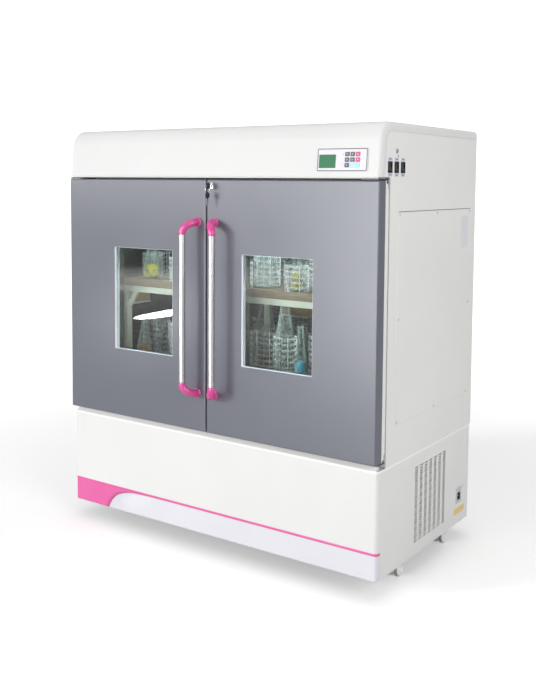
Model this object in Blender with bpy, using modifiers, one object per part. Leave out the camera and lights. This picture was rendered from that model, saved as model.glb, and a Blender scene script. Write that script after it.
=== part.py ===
"""Floor-standing incubated shaker: two glazed doors, two orbiting decks, four casters."""

import math

import bmesh
import bpy
from mathutils import Matrix, Vector

mm = 0.001

# Driving dimensions of the whole machine
width = 1320 * mm
depth = 740 * mm
height = 1487.5 * mm
caster_height = 65 * mm
base_height = 350 * mm
base_setback = 19 * mm
head_height = 170 * mm
handle_axis_reach = 51 * mm
elbow_radius = 13 * mm

# Clearances and sheet thicknesses
fit_gap = 0.3 * mm
overrun = 20 * mm
sheet = 2 * mm
head_wall = 3 * mm

# Levels and faces that follow from them
handle_reach = handle_axis_reach + elbow_radius
front = -(depth - handle_reach) / 2
back = front + depth
half_width = width / 2
base_bottom = caster_height
base_top = base_bottom + base_height
head_bottom = height - head_height
cabinet_height = head_bottom - base_top

# Doors
door_thickness = 56 * mm
door_gap_below = 20.6 * mm
door_gap_above = 10.1 * mm
door_side_inset = 0.6 * mm
door_centre_gap = 4 * mm
door_edge_round = 5 * mm
door_skin = 2 * mm
door_drain_radius = 5 * mm
door_bottom = base_top + door_gap_below
door_top = head_bottom - door_gap_above
door_outer = half_width - door_side_inset
door_inner = door_centre_gap / 2
door_back = front + door_thickness

# Windows
window_inner = 150.4 * mm
window_margin = 230.4 * mm
window_sill = 249 * mm
window_head = 247.3 * mm
window_step = 9 * mm
window_rebate = 8 * mm
pane_thickness = 5 * mm
window_outer = door_outer - window_margin
window_bottom = door_bottom + window_sill
window_top = door_top - window_head

# Door seal and cabinet front
seal_gap = 12 * mm
seal_width = 18 * mm
seal_inset = 4 * mm
frame_front = door_back + seal_gap

# Hinges
hinge_side_distance = 14 * mm
hinge_frame_distance = 21 * mm
hinge_pin_radius = 5 * mm
hinge_pin_reach = 17 * mm
hinge_plate = 4 * mm
hinge_plate_gap = 2 * mm
hinge_plate_length = 62 * mm
hinge_plate_front = 11 * mm
hinge_leaf = 3 * mm
hinge_leaf_drop = 28 * mm
hinge_edge = 4 * mm
hinge_leaf_edge = 9 * mm
hinge_x = door_outer - hinge_side_distance
hinge_y = frame_front - hinge_frame_distance

# Handles
handle_base_x = 37 * mm
handle_tube_x = 64 * mm
handle_bottom = 176 * mm
handle_head = 185.8 * mm
handle_elbow_rise = 41 * mm
tube_radius = 11.5 * mm
elbow_straight = 3 * mm
elbow_lead = 34 * mm
elbow_tail = 24 * mm
elbow_steps = 7
tube_bottom = door_bottom + handle_bottom
tube_top = door_top - handle_head
handle_length = tube_top - tube_bottom
handle_axis_y = front - handle_axis_reach

# Lock and keys on the right door
lock_x = 25 * mm
lock_drop = 20.4 * mm
lock_flange_radius = 11 * mm
lock_flange = 3.5 * mm
lock_barrel_radius = 8.5 * mm
lock_barrel_length = 22 * mm
keyway_width = 2.6 * mm
keyway_height = 8 * mm
keyway_depth = 20 * mm
key_blade_width = 2 * mm
key_blade_height = 7.4 * mm
key_blade_length = 27 * mm
key_bow_radius = 11 * mm
key_bow_thickness = 3 * mm
key_bow_hole = 3 * mm
key_bow_rim = 3 * mm
ring_radius = 11 * mm
ring_wire = 0.9 * mm
ring_steps = 20
spare_blade_length = 24 * mm
spare_blade_width = 7 * mm
spare_overlap = 2 * mm
lock_z = door_top - lock_drop

# Head cover: front lean, top radius and side returns
head_lean = math.radians(5.5)
head_setback = 1.5 * mm
head_radius = 62 * mm
head_corner_round = 12 * mm
head_return = 30 * mm
head_arc_steps = 8

# Control fascia, its display and its keys
fascia_width = 178 * mm
fascia_height = 72 * mm
fascia_thickness = 3 * mm
fascia_side = 133 * mm
fascia_x = half_width - fascia_side
fascia_rise = 52.5 * mm
fascia_round = 4 * mm
fascia_cutout_margin = 9 * mm
display_width = 58 * mm
display_height = 39 * mm
display_x = -52 * mm
display_z = -4.5 * mm
display_recess = 0.6 * mm
key_width = 15 * mm
key_height = 13 * mm
key_pitch_x = 18.7 * mm
key_pitch_z = 16.9 * mm
keypad_x = 18 * mm
keypad_z = 17 * mm
key_proud = 1.2 * mm
key_depth = 6 * mm
key_round = 1 * mm

# Rocker switches on the right side of the head
rocker_first = 65 * mm
rocker_pitch = 43 * mm
rocker_rise = 31 * mm
rocker_width = 22 * mm
rocker_height = 28 * mm
rocker_crown = 7 * mm
rocker_dip = 3.4 * mm
rocker_depth = 5 * mm
rocker_foot_share = 0.8
rocker_tilt = math.radians(-9)
rocker_clearance = 1.5 * mm
rocker_pin = 2 * mm
block_wall = 2 * mm
block_depth = 17 * mm

# Chamber
chamber_side_wall = 94 * mm
chamber_rise = 46.5 * mm
chamber_roof = 42.5 * mm
chamber_back_wall = 50 * mm
chamber_half = half_width - chamber_side_wall
chamber_height = cabinet_height - chamber_rise - chamber_roof
chamber_depth = back - chamber_back_wall - frame_front - sheet
liner_wall = 1.5 * mm
mouth_side = 4 * mm
mouth_sill = 14.5 * mm
mouth_lintel = 11 * mm
insulation_top_gap = 8 * mm
chamber_floor = base_top + chamber_rise
chamber_top = chamber_floor + chamber_height
chamber_back = frame_front + chamber_depth + sheet
mouth_half = chamber_half - mouth_side
mouth_bottom = chamber_floor + mouth_sill
mouth_top = chamber_top - mouth_lintel

# Service panel, air duct and circulation fan on the right
panel_front = 127 * mm
panel_rear = 48 * mm
panel_bottom = 123 * mm
panel_head = 107.5 * mm
panel_length = depth - panel_front - panel_rear
panel_height = cabinet_height - panel_bottom - panel_head
panel_thickness = 1.5 * mm
panel_lap = 20 * mm
screw_radius = 4 * mm
screw_height = 1.2 * mm
screw_inset = 8 * mm
screw_rows = 3
duct_margin = 3 * mm
fan_y = panel_front + panel_length / 2
fan_z = panel_bottom + panel_height / 2
fan_radius = 75 * mm
fan_hub_radius = 18 * mm
fan_width = 24 * mm
fan_clearance = 5 * mm
fan_shaft_radius = 4 * mm
fan_motor_radius = 40 * mm
fan_motor_gap = 15 * mm
fan_blades = 6
fan_blade_thickness = 2.5 * mm
fan_blade_pitch = math.radians(40)
inlet_radius = 62 * mm
outlet_slots = 8
outlet_width = 10 * mm
outlet_pitch = 32 * mm
outlet_height_share = 0.134
outlet_drop_share = 0.09
outlet_height = panel_height * outlet_height_share
outlet_drop = panel_height * outlet_drop_share

# Base shell and its side grille
base_round = 12 * mm
base_round_steps = 4
grille_rear = 219 * mm
grille_length = 232 * mm
grille_front = depth - grille_rear - grille_length
grille_bottom = 42 * mm
grille_head = 52 * mm
grille_height = base_height - grille_bottom - grille_head
grille_columns = 7
grille_rows = 13
slot_length = 19 * mm
slot_height = 6 * mm
inlet_rear = 97 * mm
inlet_y = depth - inlet_rear
inlet_z = 105 * mm
inlet_width = 34 * mm
inlet_height = 46 * mm
inlet_flange = 5 * mm
inlet_flange_thickness = 3 * mm
inlet_depth = 30 * mm
inlet_recess = 22 * mm
inlet_wall = 5 * mm
inlet_pin_radius = 2.5 * mm
inlet_pin_length = 14 * mm
inlet_pin_spread = 7 * mm

# Chassis with its drive plate
chassis_plate = 3 * mm
chassis_leg = 40 * mm
drive_plate_side = 220 * mm
drive_plate_ends = 180 * mm
drive_plate_half = half_width - drive_plate_side
drive_plate_depth = chamber_depth - drive_plate_ends
drive_plate_drop = 85 * mm
drive_plate_rise = base_height - drive_plate_drop
drive_plate_thickness = 12 * mm
leg_inset = 20 * mm
deck_centre = frame_front + sheet + chamber_depth / 2 - front
hub_radius = 45 * mm
hub_below = 12 * mm
hub_above = 58 * mm
idler_hub_radius = 28 * mm

# Crank drive
throw = 13 * mm
shaft_radius = 17.5 * mm
shaft_below = 105 * mm
shaft_sides = 32
crank_web_radius = 40 * mm
crank_web = 14 * mm
crank_pin_radius = 10 * mm
crank_pin_length = 40 * mm
web_rise = 2.5 * mm
collar = 10 * mm
collar_width = 12 * mm
floor_hole_gap = 9 * mm
crank_edge = 100 * mm
idler_side = 80 * mm
main_offset = drive_plate_depth / 2 - crank_edge
idler_offset = drive_plate_depth / 2 - crank_edge
idler_x = drive_plate_half - idler_side
idler_shaft_radius = 10 * mm
idler_web_radius = 28 * mm
idler_pin_radius = 8 * mm
pulley_radius = 100 * mm
motor_pulley_radius = 32.5 * mm
pulley_width = 22 * mm
pulley_drop = 78 * mm
pulley_lip = 4 * mm
pulley_lip_width = 1.5 * mm
belt_thickness = 3 * mm
belt_arc_steps = 12
balance_length = 110 * mm
balance_width = 50 * mm
balance_height = 28 * mm
balance_inset = 24 * mm
motor_side = 170 * mm
motor_x = motor_side - drive_plate_half
motor_radius = 55 * mm
motor_head = 32 * mm
motor_height = drive_plate_rise - pulley_drop - motor_head
motor_shaft_radius = 8 * mm
motor_boss_radius = 22 * mm
motor_boss_height = 12 * mm
bore_gap = 0.3 * mm

# Orbiting platform and its trays
deck_side_gap = 81 * mm
deck_ends_gap = 30 * mm
deck_half = chamber_half - deck_side_gap
deck_depth = chamber_depth - 2 * deck_ends_gap
beam_height = 34 * mm
beam_width = 26 * mm
deck_rise = 38.5 * mm
deck_spacing_share = 0.4745
deck_spacing = chamber_height * deck_spacing_share
bearing_bar = 60 * mm
boss_wall = 10 * mm
pivot_gap = 0.5 * mm
gusset_run = 62 * mm
gusset_drop = 92 * mm
gusset_width = 18 * mm
gusset_thickness = 12 * mm
tray_thickness = 12 * mm
tray_notch_gap = 2 * mm
clamp_columns = 4
clamp_rows = 3
clamp_edge_x = 137 * mm
clamp_edge_y = 100 * mm
clamp_pitch_x = 2 * (deck_half - clamp_edge_x) / (clamp_columns - 1)
clamp_pitch_y = (deck_depth - 2 * clamp_edge_y) / (clamp_rows - 1)
clamp_radius = 52 * mm
clamp_height = 4 * mm
clamp_sides = 10

# Refrigeration unit behind the grille
unit_side = 10 * mm
unit_width = 180 * mm
unit_x = half_width - unit_side - unit_width
unit_margin = 20 * mm
unit_rear = 180 * mm
unit_plate = 3 * mm
compressor_radius = 70 * mm
compressor_height = 190 * mm
compressor_shoulder = 30 * mm
compressor_gap = 12 * mm
condenser_gap = 12 * mm
condenser_thickness = 34 * mm
condenser_length = 240 * mm
condenser_height = 250 * mm
condenser_slots = 9
condenser_slot = 12 * mm
condenser_rim = 12 * mm
cooling_fan_radius = 96 * mm
cooling_fan_width = 20 * mm
cooling_fan_gap = 8 * mm
cooling_motor_radius = 26 * mm
cooling_motor_length = 40 * mm
cooling_post = 30 * mm

# Casters
caster_side = 48 * mm
caster_front = 222 * mm
caster_back = 165 * mm
caster_x = half_width - caster_side
caster_rear = depth - caster_back
caster_trail = 20 * mm
caster_wheel_radius = 24 * mm
caster_wheel_width = 14 * mm
caster_web = 12 * mm
caster_riser = 10 * mm
caster_web_radius = 20 * mm
caster_axle_radius = 4 * mm
caster_stem_radius = 9 * mm
caster_plate = 3 * mm
caster_plate_half = 21 * mm
caster_side_gap = 0.5 * mm
caster_wheel_round = 4 * mm

turn = {
    "X": Matrix.Rotation(math.pi / 2, 4, "Y"),
    "Y": Matrix.Rotation(math.pi / 2, 4, "X"),
    "Z": Matrix.Identity(4),
}
plane = {
    "X": Matrix(((0, 0, 1, 0), (1, 0, 0, 0), (0, 1, 0, 0), (0, 0, 0, 1))),
    "Y": Matrix(((1, 0, 0, 0), (0, 0, -1, 0), (0, 1, 0, 0), (0, 0, 0, 1))),
    "Z": Matrix.Identity(4),
}


def clear_scene():
    """Empty the file of its starting objects."""
    for item in list(bpy.data.objects):
        bpy.data.objects.remove(item, do_unlink=True)


def new_collection(name):
    """Add a collection to the scene."""
    made = bpy.data.collections.new(name)
    bpy.context.scene.collection.children.link(made)
    return made


def new_material(name, colour, roughness, metallic=0.0):
    """A plain Principled material for one sub-part."""
    made = bpy.data.materials.new(name)
    made.use_nodes = True
    shader = made.node_tree.nodes["Principled BSDF"]
    shader.inputs["Base Color"].default_value = (*colour, 1)
    shader.inputs["Roughness"].default_value = roughness
    shader.inputs["Metallic"].default_value = metallic
    return made


def move_to(item, group):
    """Keep an object in one collection only."""
    for holder in list(item.users_collection):
        holder.objects.unlink(item)
    group.objects.link(item)


def part(item, name, finish):
    """Name a finished sub-part and give it its finish."""
    item.name = name
    item.data.name = name
    item.data.materials.clear()
    item.data.materials.append(finish)
    move_to(item, parts)
    return item


def box(low, high):
    """A block between two corners."""
    low, high = Vector(low), Vector(high)
    bpy.ops.mesh.primitive_cube_add(size=1, location=(low + high) / 2)
    block = bpy.context.object
    block.data.transform(Matrix.Diagonal((*(high - low), 1)))
    return block


def cylinder(base, radius, length, axis="Z", sides=16):
    """A cylinder that starts at base and runs along an axis."""
    shift = Matrix.Translation(Vector(base))
    middle = turn[axis] @ Matrix.Translation((0, 0, length / 2))
    if axis == "Y":
        middle = turn[axis] @ Matrix.Translation((0, 0, -length / 2))
    bpy.ops.mesh.primitive_cylinder_add(vertices=sides, radius=radius, depth=length)
    rod = bpy.context.object
    rod.data.transform(middle)
    rod.matrix_world = shift
    rod.data.shade_smooth()
    rod.data.set_sharp_from_angle(angle=math.radians(40))
    return rod


def as_mesh(curve_item, weld=0.00001):
    """Replace a curve object by its mesh, with the caps welded on."""
    bpy.context.view_layer.update()
    graph = bpy.context.evaluated_depsgraph_get()
    mesh = bpy.data.meshes.new_from_object(curve_item.evaluated_get(graph))
    work = bmesh.new()
    work.from_mesh(mesh)
    bmesh.ops.remove_doubles(work, verts=work.verts, dist=weld)
    bmesh.ops.recalc_face_normals(work, faces=work.faces)
    work.to_mesh(mesh)
    work.free()
    solid = bpy.data.objects.new(curve_item.name, mesh)
    bpy.context.scene.collection.objects.link(solid)
    solid.matrix_world = curve_item.matrix_world
    bpy.data.objects.remove(curve_item, do_unlink=True)
    return solid


def prism(outlines, start, length, axis):
    """A flat outline, with any inner outlines as holes, extruded along an axis."""
    flat = bpy.data.curves.new("outline", "CURVE")
    flat.dimensions = "2D"
    flat.fill_mode = "BOTH"
    flat.extrude = length / 2
    for outline in outlines:
        line = flat.splines.new("POLY")
        line.points.add(len(outline) - 1)
        for point, (across, along) in zip(line.points, outline):
            point.co = (across, along, 0, 1)
        line.use_cyclic_u = True
    item = bpy.data.objects.new("outline", flat)
    bpy.context.scene.collection.objects.link(item)
    offset = Vector((0, 0, 0))
    offset["XYZ".index(axis)] = start + length / 2
    item.matrix_world = Matrix.Translation(offset) @ plane[axis]
    return as_mesh(item)


def tube(points, radius, closed=False, rings=3):
    """A round wire or rod through a list of points, as a mesh with flat ends."""
    line = bpy.data.curves.new("wire", "CURVE")
    line.dimensions = "3D"
    line.bevel_depth = radius
    line.bevel_resolution = rings
    line.use_fill_caps = not closed
    run = line.splines.new("POLY")
    run.points.add(len(points) - 1)
    for point, place in zip(run.points, points):
        point.co = (*place, 1)
    run.use_cyclic_u = closed
    item = bpy.data.objects.new("wire", line)
    bpy.context.scene.collection.objects.link(item)
    return as_mesh(item)


def turned(profile, place, axis="Z", steps=24):
    """A turned solid: radius and height pairs from the top centre down to the bottom centre."""
    mesh = bpy.data.meshes.new("profile")
    rows = [(radius, 0, level) for radius, level in profile]
    mesh.from_pydata(rows, [(row, row + 1) for row in range(len(rows) - 1)], [])
    item = bpy.data.objects.new("turned", mesh)
    bpy.context.scene.collection.objects.link(item)
    item.matrix_world = Matrix.Translation(Vector(place)) @ turn[axis]
    spin = item.modifiers.new("spin", "SCREW")
    spin.axis = "Z"
    spin.steps = steps
    spin.render_steps = steps
    spin.use_merge_vertices = True
    spin.merge_threshold = 0.00001
    spin.use_smooth_shade = True
    return item


def repeat(item, count, step):
    """Copies of a tool in a row."""
    row = item.modifiers.new("row", "ARRAY")
    row.count = count
    row.use_relative_offset = False
    row.use_constant_offset = True
    row.constant_offset_displace = step
    return item


def combine(target, tool, operation):
    """Add one Boolean step and put its tool with the cutters."""
    step = target.modifiers.new(operation.lower(), "BOOLEAN")
    step.object = tool
    step.operation = operation
    step.solver = "EXACT"
    move_to(tool, cutters)
    tool.hide_render = True
    tool.display_type = "WIRE"


def cut(target, *tools):
    """Take tools away from a solid."""
    for tool in tools:
        combine(target, tool, "DIFFERENCE")
    return target


def join(target, *tools):
    """Add tools to a solid."""
    for tool in tools:
        combine(target, tool, "UNION")
    return target


def round_edges(item, radius, segments=2, angle=math.radians(50)):
    """Round the sharp edges of a solid."""
    bevel = item.modifiers.new("round", "BEVEL")
    bevel.width = radius
    bevel.segments = segments
    bevel.limit_method = "ANGLE"
    bevel.angle_limit = angle
    return item


def pivot(name, place):
    """An empty on a joint's axis."""
    marker = bpy.data.objects.new(name, None)
    marker.empty_display_size = fit_gap
    marker.location = place
    parts.objects.link(marker)
    return marker


def carry(marker, *items):
    """Parent solids to a joint's empty without moving them."""
    for item in items:
        item.parent = marker
        item.matrix_parent_inverse = Matrix.Translation(marker.location).inverted()


def rounded_rectangle(low_x, low_y, high_x, high_y, radius, steps):
    """Corner points of a rectangle with quarter-circle corners."""
    points = []
    centres = (
        (high_x - radius, high_y - radius),
        (low_x + radius, high_y - radius),
        (low_x + radius, low_y + radius),
        (high_x - radius, low_y + radius),
    )
    for corner, (centre_x, centre_y) in enumerate(centres):
        for step in range(steps + 1):
            angle = (corner + step / steps) * math.pi / 2
            points.append((centre_x + radius * math.cos(angle), centre_y + radius * math.sin(angle)))
    return points


def head_outline(inset, reach_back, reach_down):
    """Side outline of the head, moved inwards by an inset: leaning front, round shoulder, flat top."""
    radius = head_radius - inset
    centre_z = height - head_radius
    tangent_z = centre_z + head_radius * math.sin(head_lean)
    rise = tangent_z - head_bottom
    tangent_y = front + head_setback + rise * math.tan(head_lean)
    centre_y = tangent_y + head_radius * math.cos(head_lean)
    low_z = head_bottom - reach_down
    low_y = front + head_setback - reach_down * math.tan(head_lean) + inset / math.cos(head_lean)
    points = [(low_y, low_z)]
    for step in range(head_arc_steps + 1):
        angle = math.pi - head_lean - step / head_arc_steps * (math.pi / 2 - head_lean)
        points.append((centre_y + radius * math.cos(angle), centre_z + radius * math.sin(angle)))
    points.append((back + reach_back, height - inset))
    points.append((back + reach_back, low_z))
    return points


def head_solid(inset, corner, reach_back):
    """The head as a block, longer below than the real one, with its side edges rounded."""
    half = half_width - inset
    block = prism([head_outline(inset, reach_back, overrun)], -half, 2 * half, "X")
    work = bmesh.new()
    work.from_mesh(block.data)
    flat = math.radians(1)
    bmesh.ops.dissolve_limit(work, angle_limit=flat, verts=work.verts, edges=work.edges)
    rim = [edge for edge in work.edges if is_side_edge(edge, back + reach_back)]
    bmesh.ops.bevel(work, geom=rim, offset=corner, segments=3, profile=0.5, affect="EDGES")
    work.to_mesh(block.data)
    work.free()
    return block


def is_side_edge(edge, far_y):
    """True for the head block's edges along its front, shoulder and top, at either side."""
    first, second = edge.verts[0].co, edge.verts[1].co
    low_z = head_bottom - overrun
    across = first.z * second.z < 0
    at_bottom = max(first.y, second.y) < low_z + fit_gap
    at_back = min(first.x, second.x) > far_y - fit_gap
    return not (across or at_bottom or at_back)


def side_sheet_outline(inset):
    """Side outline of the cabinet shell, from its bottom edge up into the head."""
    offset = head_return + fit_gap
    head = head_outline(offset + inset, -inset, -inset)
    arc = head[:-2]
    outline = [(frame_front + inset, base_top + fit_gap + inset)]
    outline.append((frame_front + inset, head_bottom + inset))
    outline.extend(arc)
    outline.append((back - inset, height - offset - inset))
    outline.append((back - inset, base_top + fit_gap + inset))
    return outline


def build_cabinet_shell():
    """Bent steel shell: sides, back, floor and the face around the chamber mouth."""
    shell = prism([side_sheet_outline(0)], -half_width, width, "X")
    hollow_half = half_width - sheet
    lower = box(
        (-hollow_half, frame_front + sheet, base_top + fit_gap + sheet),
        (hollow_half, back - sheet, head_bottom + sheet + fit_gap),
    )
    upper = box(
        (-hollow_half, front - overrun, head_bottom + sheet),
        (hollow_half, back - sheet, height + overrun),
    )
    mouth = box(
        (-mouth_half, frame_front - overrun, mouth_bottom),
        (mouth_half, frame_front + overrun, mouth_top),
    )
    cut(shell, lower, upper, mouth)
    opening_low = front + panel_front + panel_lap
    opening_high = front + panel_front + panel_length - panel_lap
    cut(
        shell,
        box(
            (half_width - overrun, opening_low, base_top + panel_bottom + panel_lap),
            (half_width + overrun, opening_high, base_top + panel_bottom + panel_height - panel_lap),
        ),
    )
    reach = rocker_width / 2 + rocker_clearance + block_wall + fit_gap
    for row in range(3):
        centre = front + rocker_first + row * rocker_pitch
        level = head_bottom + rocker_rise
        tall = rocker_height / 2 + rocker_clearance + block_wall + fit_gap
        cut(
            shell,
            box(
                (half_width - overrun, centre - reach, level - tall),
                (half_width + overrun, centre + reach, level + tall),
            ),
        )
    for place_x, place_y, radius in crank_places():
        hole = radius + floor_hole_gap
        cut(shell, cylinder((place_x, place_y, base_top - overrun), hole, overrun * 2))
    shelf_half = half_width - head_corner_round
    shelf_front = front + head_setback + head_wall + fit_gap * 2
    shelf = box(
        (-shelf_half, shelf_front, head_bottom),
        (shelf_half, frame_front + sheet / 2, head_bottom + sheet),
    )
    join(shell, shelf)
    return part(shell, "cabinet_shell", white_paint)


def crank_places():
    """Where the main crank and the two idlers stand, with their shaft radii."""
    centre = front + deck_centre
    return (
        (0, centre - main_offset, shaft_radius),
        (-idler_x, centre + idler_offset, idler_shaft_radius),
        (idler_x, centre + idler_offset, idler_shaft_radius),
    )


def duct_box(side_low, side_high):
    """The air duct's space beside the chamber, between two X positions."""
    low_y = front + panel_front + panel_lap + duct_margin
    high_y = front + panel_front + panel_length - panel_lap - duct_margin
    low_z = base_top + panel_bottom + panel_lap + duct_margin
    high_z = base_top + panel_bottom + panel_height - panel_lap - duct_margin
    return box((side_low, low_y, low_z), (side_high, high_y, high_z))


def build_insulation():
    """Foam between the shell and the liner, open at the front and at the duct."""
    outer = half_width - sheet - fit_gap
    foam = box(
        (-outer, frame_front + sheet + fit_gap, base_top + sheet + 2 * fit_gap),
        (outer, back - sheet - fit_gap, head_bottom - insulation_top_gap),
    )
    inner = chamber_half + liner_wall + fit_gap
    cut(
        foam,
        box(
            (-inner, frame_front - overrun, chamber_floor - liner_wall - fit_gap),
            (inner, chamber_back + liner_wall + fit_gap, chamber_top + liner_wall + fit_gap),
        ),
    )
    cut(foam, duct_box(inner - overrun, outer + overrun))
    for place_x, place_y, radius in crank_places():
        hole = (place_x, place_y, base_top - overrun)
        cut(foam, cylinder(hole, radius + floor_hole_gap, chamber_rise + overrun * 2))
    return part(foam, "insulation", foam_finish)


def build_liner():
    """Stainless chamber box, open at the front, with fan inlet and air outlet slots."""
    start = frame_front + sheet + fit_gap
    liner = box(
        (-chamber_half - liner_wall, start, chamber_floor - liner_wall),
        (chamber_half + liner_wall, chamber_back + liner_wall, chamber_top + liner_wall),
    )
    cut(liner, box((-chamber_half, start - overrun, chamber_floor), (chamber_half, chamber_back, chamber_top)))
    cut(liner, cylinder((chamber_half - overrun, front + fan_y, base_top + fan_z), inlet_radius, overrun * 2, "X"))
    first = front + fan_y - outlet_pitch * (outlet_slots - 1) / 2
    top = base_top + panel_bottom + panel_height - panel_lap - outlet_drop
    slot = box(
        (chamber_half - overrun, first, top - outlet_height),
        (chamber_half + overrun, first + outlet_width, top),
    )
    cut(liner, repeat(slot, outlet_slots, (0, outlet_pitch, 0)))
    for place_x, place_y, radius in crank_places():
        cut(liner, cylinder((place_x, place_y, chamber_floor - overrun), radius + floor_hole_gap, overrun * 2))
    return part(liner, "chamber_liner", stainless)


def build_service_panel():
    """Screwed cover on the right side; the circulation fan's motor is bolted to it."""
    start = half_width + fit_gap
    low_y = front + panel_front
    low_z = base_top + panel_bottom
    panel = box((start, low_y, low_z), (start + panel_thickness, low_y + panel_length, low_z + panel_height))
    span = panel_length - 2 * screw_inset
    climb = panel_height - 2 * screw_inset
    for row in range(screw_rows):
        for column in range(screw_rows):
            edge_row = row in (0, screw_rows - 1)
            edge_column = column in (0, screw_rows - 1)
            if not (edge_row or edge_column):
                continue
            place_y = low_y + screw_inset + span * column / (screw_rows - 1)
            place_z = low_z + screw_inset + climb * row / (screw_rows - 1)
            inner = start + panel_thickness / 2
            join(panel, cylinder((inner, place_y, place_z), screw_radius, panel_thickness / 2 + screw_height, "X", 8))
    rotor_end = chamber_half + liner_wall + fan_clearance + fan_width
    motor_start = rotor_end + fan_motor_gap
    centre = (front + fan_y, base_top + fan_z)
    join(panel, cylinder((motor_start, *centre), fan_motor_radius, start + panel_thickness / 2 - motor_start, "X"))
    shaft_start = rotor_end - fan_width + fit_gap
    shaft_length = motor_start + panel_thickness - shaft_start
    join(panel, cylinder((shaft_start, *centre), fan_shaft_radius, shaft_length, "X", 16))
    return part(panel, "service_panel", side_paint)


def fan_rotor(start, centre, radius, hub_radius, length, bore):
    """Hub with pitched blades, turning about an X axis."""
    rotor = cylinder((start, *centre), hub_radius, length, "X")
    blade_tools = []
    for count in range(fan_blades):
        angle = 2 * math.pi * count / fan_blades
        blade_low = (-length / 2, -fan_blade_thickness / 2, hub_radius / 2)
        blade_high = (length / 2, fan_blade_thickness / 2, radius)
        blade = box(blade_low, blade_high)
        centre_of_blade = Matrix.Translation(blade.location)
        blade.data.transform(centre_of_blade)
        pitch = Matrix.Rotation(fan_blade_pitch, 4, "Z")
        spin = Matrix.Rotation(angle, 4, "X")
        squeeze = Matrix.Diagonal((math.cos(fan_blade_pitch), 1, 1, 1))
        blade.data.transform(spin @ pitch @ squeeze)
        blade.matrix_world = Matrix.Translation((start + length / 2, *centre))
        blade_tools.append(blade)
    join(rotor, *blade_tools)
    cut(rotor, cylinder((start - overrun, *centre), bore, length + 2 * overrun, "X", 16))
    return rotor


def build_circulation_fan():
    """Fan that moves the chamber's air, behind the liner's inlet."""
    start = chamber_half + liner_wall + fan_clearance
    centre = (front + fan_y, base_top + fan_z)
    rotor = fan_rotor(start, centre, fan_radius, fan_hub_radius, fan_width, fan_shaft_radius + bore_gap)
    part(rotor, "circulation_fan", dark_plastic)
    carry(pivot("circulation_fan_axis", (start + fan_width / 2, *centre)), rotor)


def build_head_cover():
    """Rolled cover over the front and top of the head, with returns down its sides and back."""
    cover = head_solid(0, head_corner_round, overrun)
    cut(cover, head_solid(head_wall, head_corner_round - head_wall, -head_wall))
    wide = half_width + overrun
    cut(cover, prism([head_outline(head_return, overrun * 2, overrun * 2)], -wide, 2 * wide, "X"))
    low = head_bottom - overrun * 2
    cut(cover, box((-wide, front - overrun, low), (wide, back + overrun * 2, head_bottom)))
    cut(cover, box((-wide, back, low), (wide, back + overrun * 2, height + overrun)))
    opening_half = fascia_width / 2 - fascia_cutout_margin
    opening_tall = fascia_height / 2 - fascia_cutout_margin
    opening = box((-opening_half, -overrun / 2, -opening_tall), (opening_half, overrun, opening_tall))
    opening.matrix_world = fascia_frame() @ opening.matrix_world
    cut(cover, opening)
    return part(cover, "head_cover", white_paint)


def fascia_frame():
    """The frame of the leaning front face at the fascia's centre; local Y points inwards."""
    rise = fascia_rise
    place = Vector((fascia_x, front + head_setback + rise * math.tan(head_lean), head_bottom + rise))
    return Matrix.Translation(place) @ Matrix.Rotation(-head_lean, 4, "X")


def on_fascia(item):
    """Place a piece that was made in the fascia's own frame."""
    bpy.context.view_layer.update()
    item.matrix_world = fascia_frame() @ item.matrix_world
    return item


def keypad():
    """Name, centre and width of each key, in the fascia's own frame."""
    keys = []
    for row in range(3):
        for column in range(3):
            if row == 2 and column == 2:
                continue
            wide = row == 2 and column == 1
            extra = key_pitch_x if wide else 0
            centre_x = keypad_x + column * key_pitch_x + extra / 2
            centre_z = keypad_z - row * key_pitch_z
            keys.append((f"key_{row + 1}_{column + 1}", centre_x, centre_z, key_width + extra))
    return keys


def build_fascia():
    """Control plate with its display window and its keys."""
    seat = -fit_gap
    outline = rounded_rectangle(
        -fascia_width / 2, -fascia_height / 2, fascia_width / 2, fascia_height / 2, fascia_round, 3
    )
    plate = prism([outline], seat - fascia_thickness, fascia_thickness, "Y")
    plate_front = seat - fascia_thickness
    holes = [(display_x, display_z, display_width, display_height)]
    holes += [(centre_x, centre_z, wide, key_height) for _, centre_x, centre_z, wide in keypad()]
    on_fascia(plate)
    for centre_x, centre_z, wide, tall in holes:
        half_x = wide / 2 + fit_gap
        half_z = tall / 2 + fit_gap
        tool = box(
            (centre_x - half_x, plate_front - overrun, centre_z - half_z),
            (centre_x + half_x, seat + overrun / 2, centre_z + half_z),
        )
        cut(plate, on_fascia(tool))
    part(plate, "fascia_panel", fascia_finish)
    glass = box(
        (display_x - display_width / 2, plate_front + display_recess, display_z - display_height / 2),
        (display_x + display_width / 2, seat, display_z + display_height / 2),
    )
    part(on_fascia(glass), "display_window", display_finish)
    finishes = {
        "key_1_3": key_pink,
        "key_2_3": key_pink,
        "key_3_2": key_cyan,
    }
    for name, centre_x, centre_z, wide in keypad():
        key = box(
            (centre_x - wide / 2, plate_front - key_proud, centre_z - key_height / 2),
            (centre_x + wide / 2, plate_front - key_proud + key_depth, centre_z + key_height / 2),
        )
        round_edges(key, key_round, 1)
        part(on_fascia(key), name, finishes.get(name, key_dark))


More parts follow.
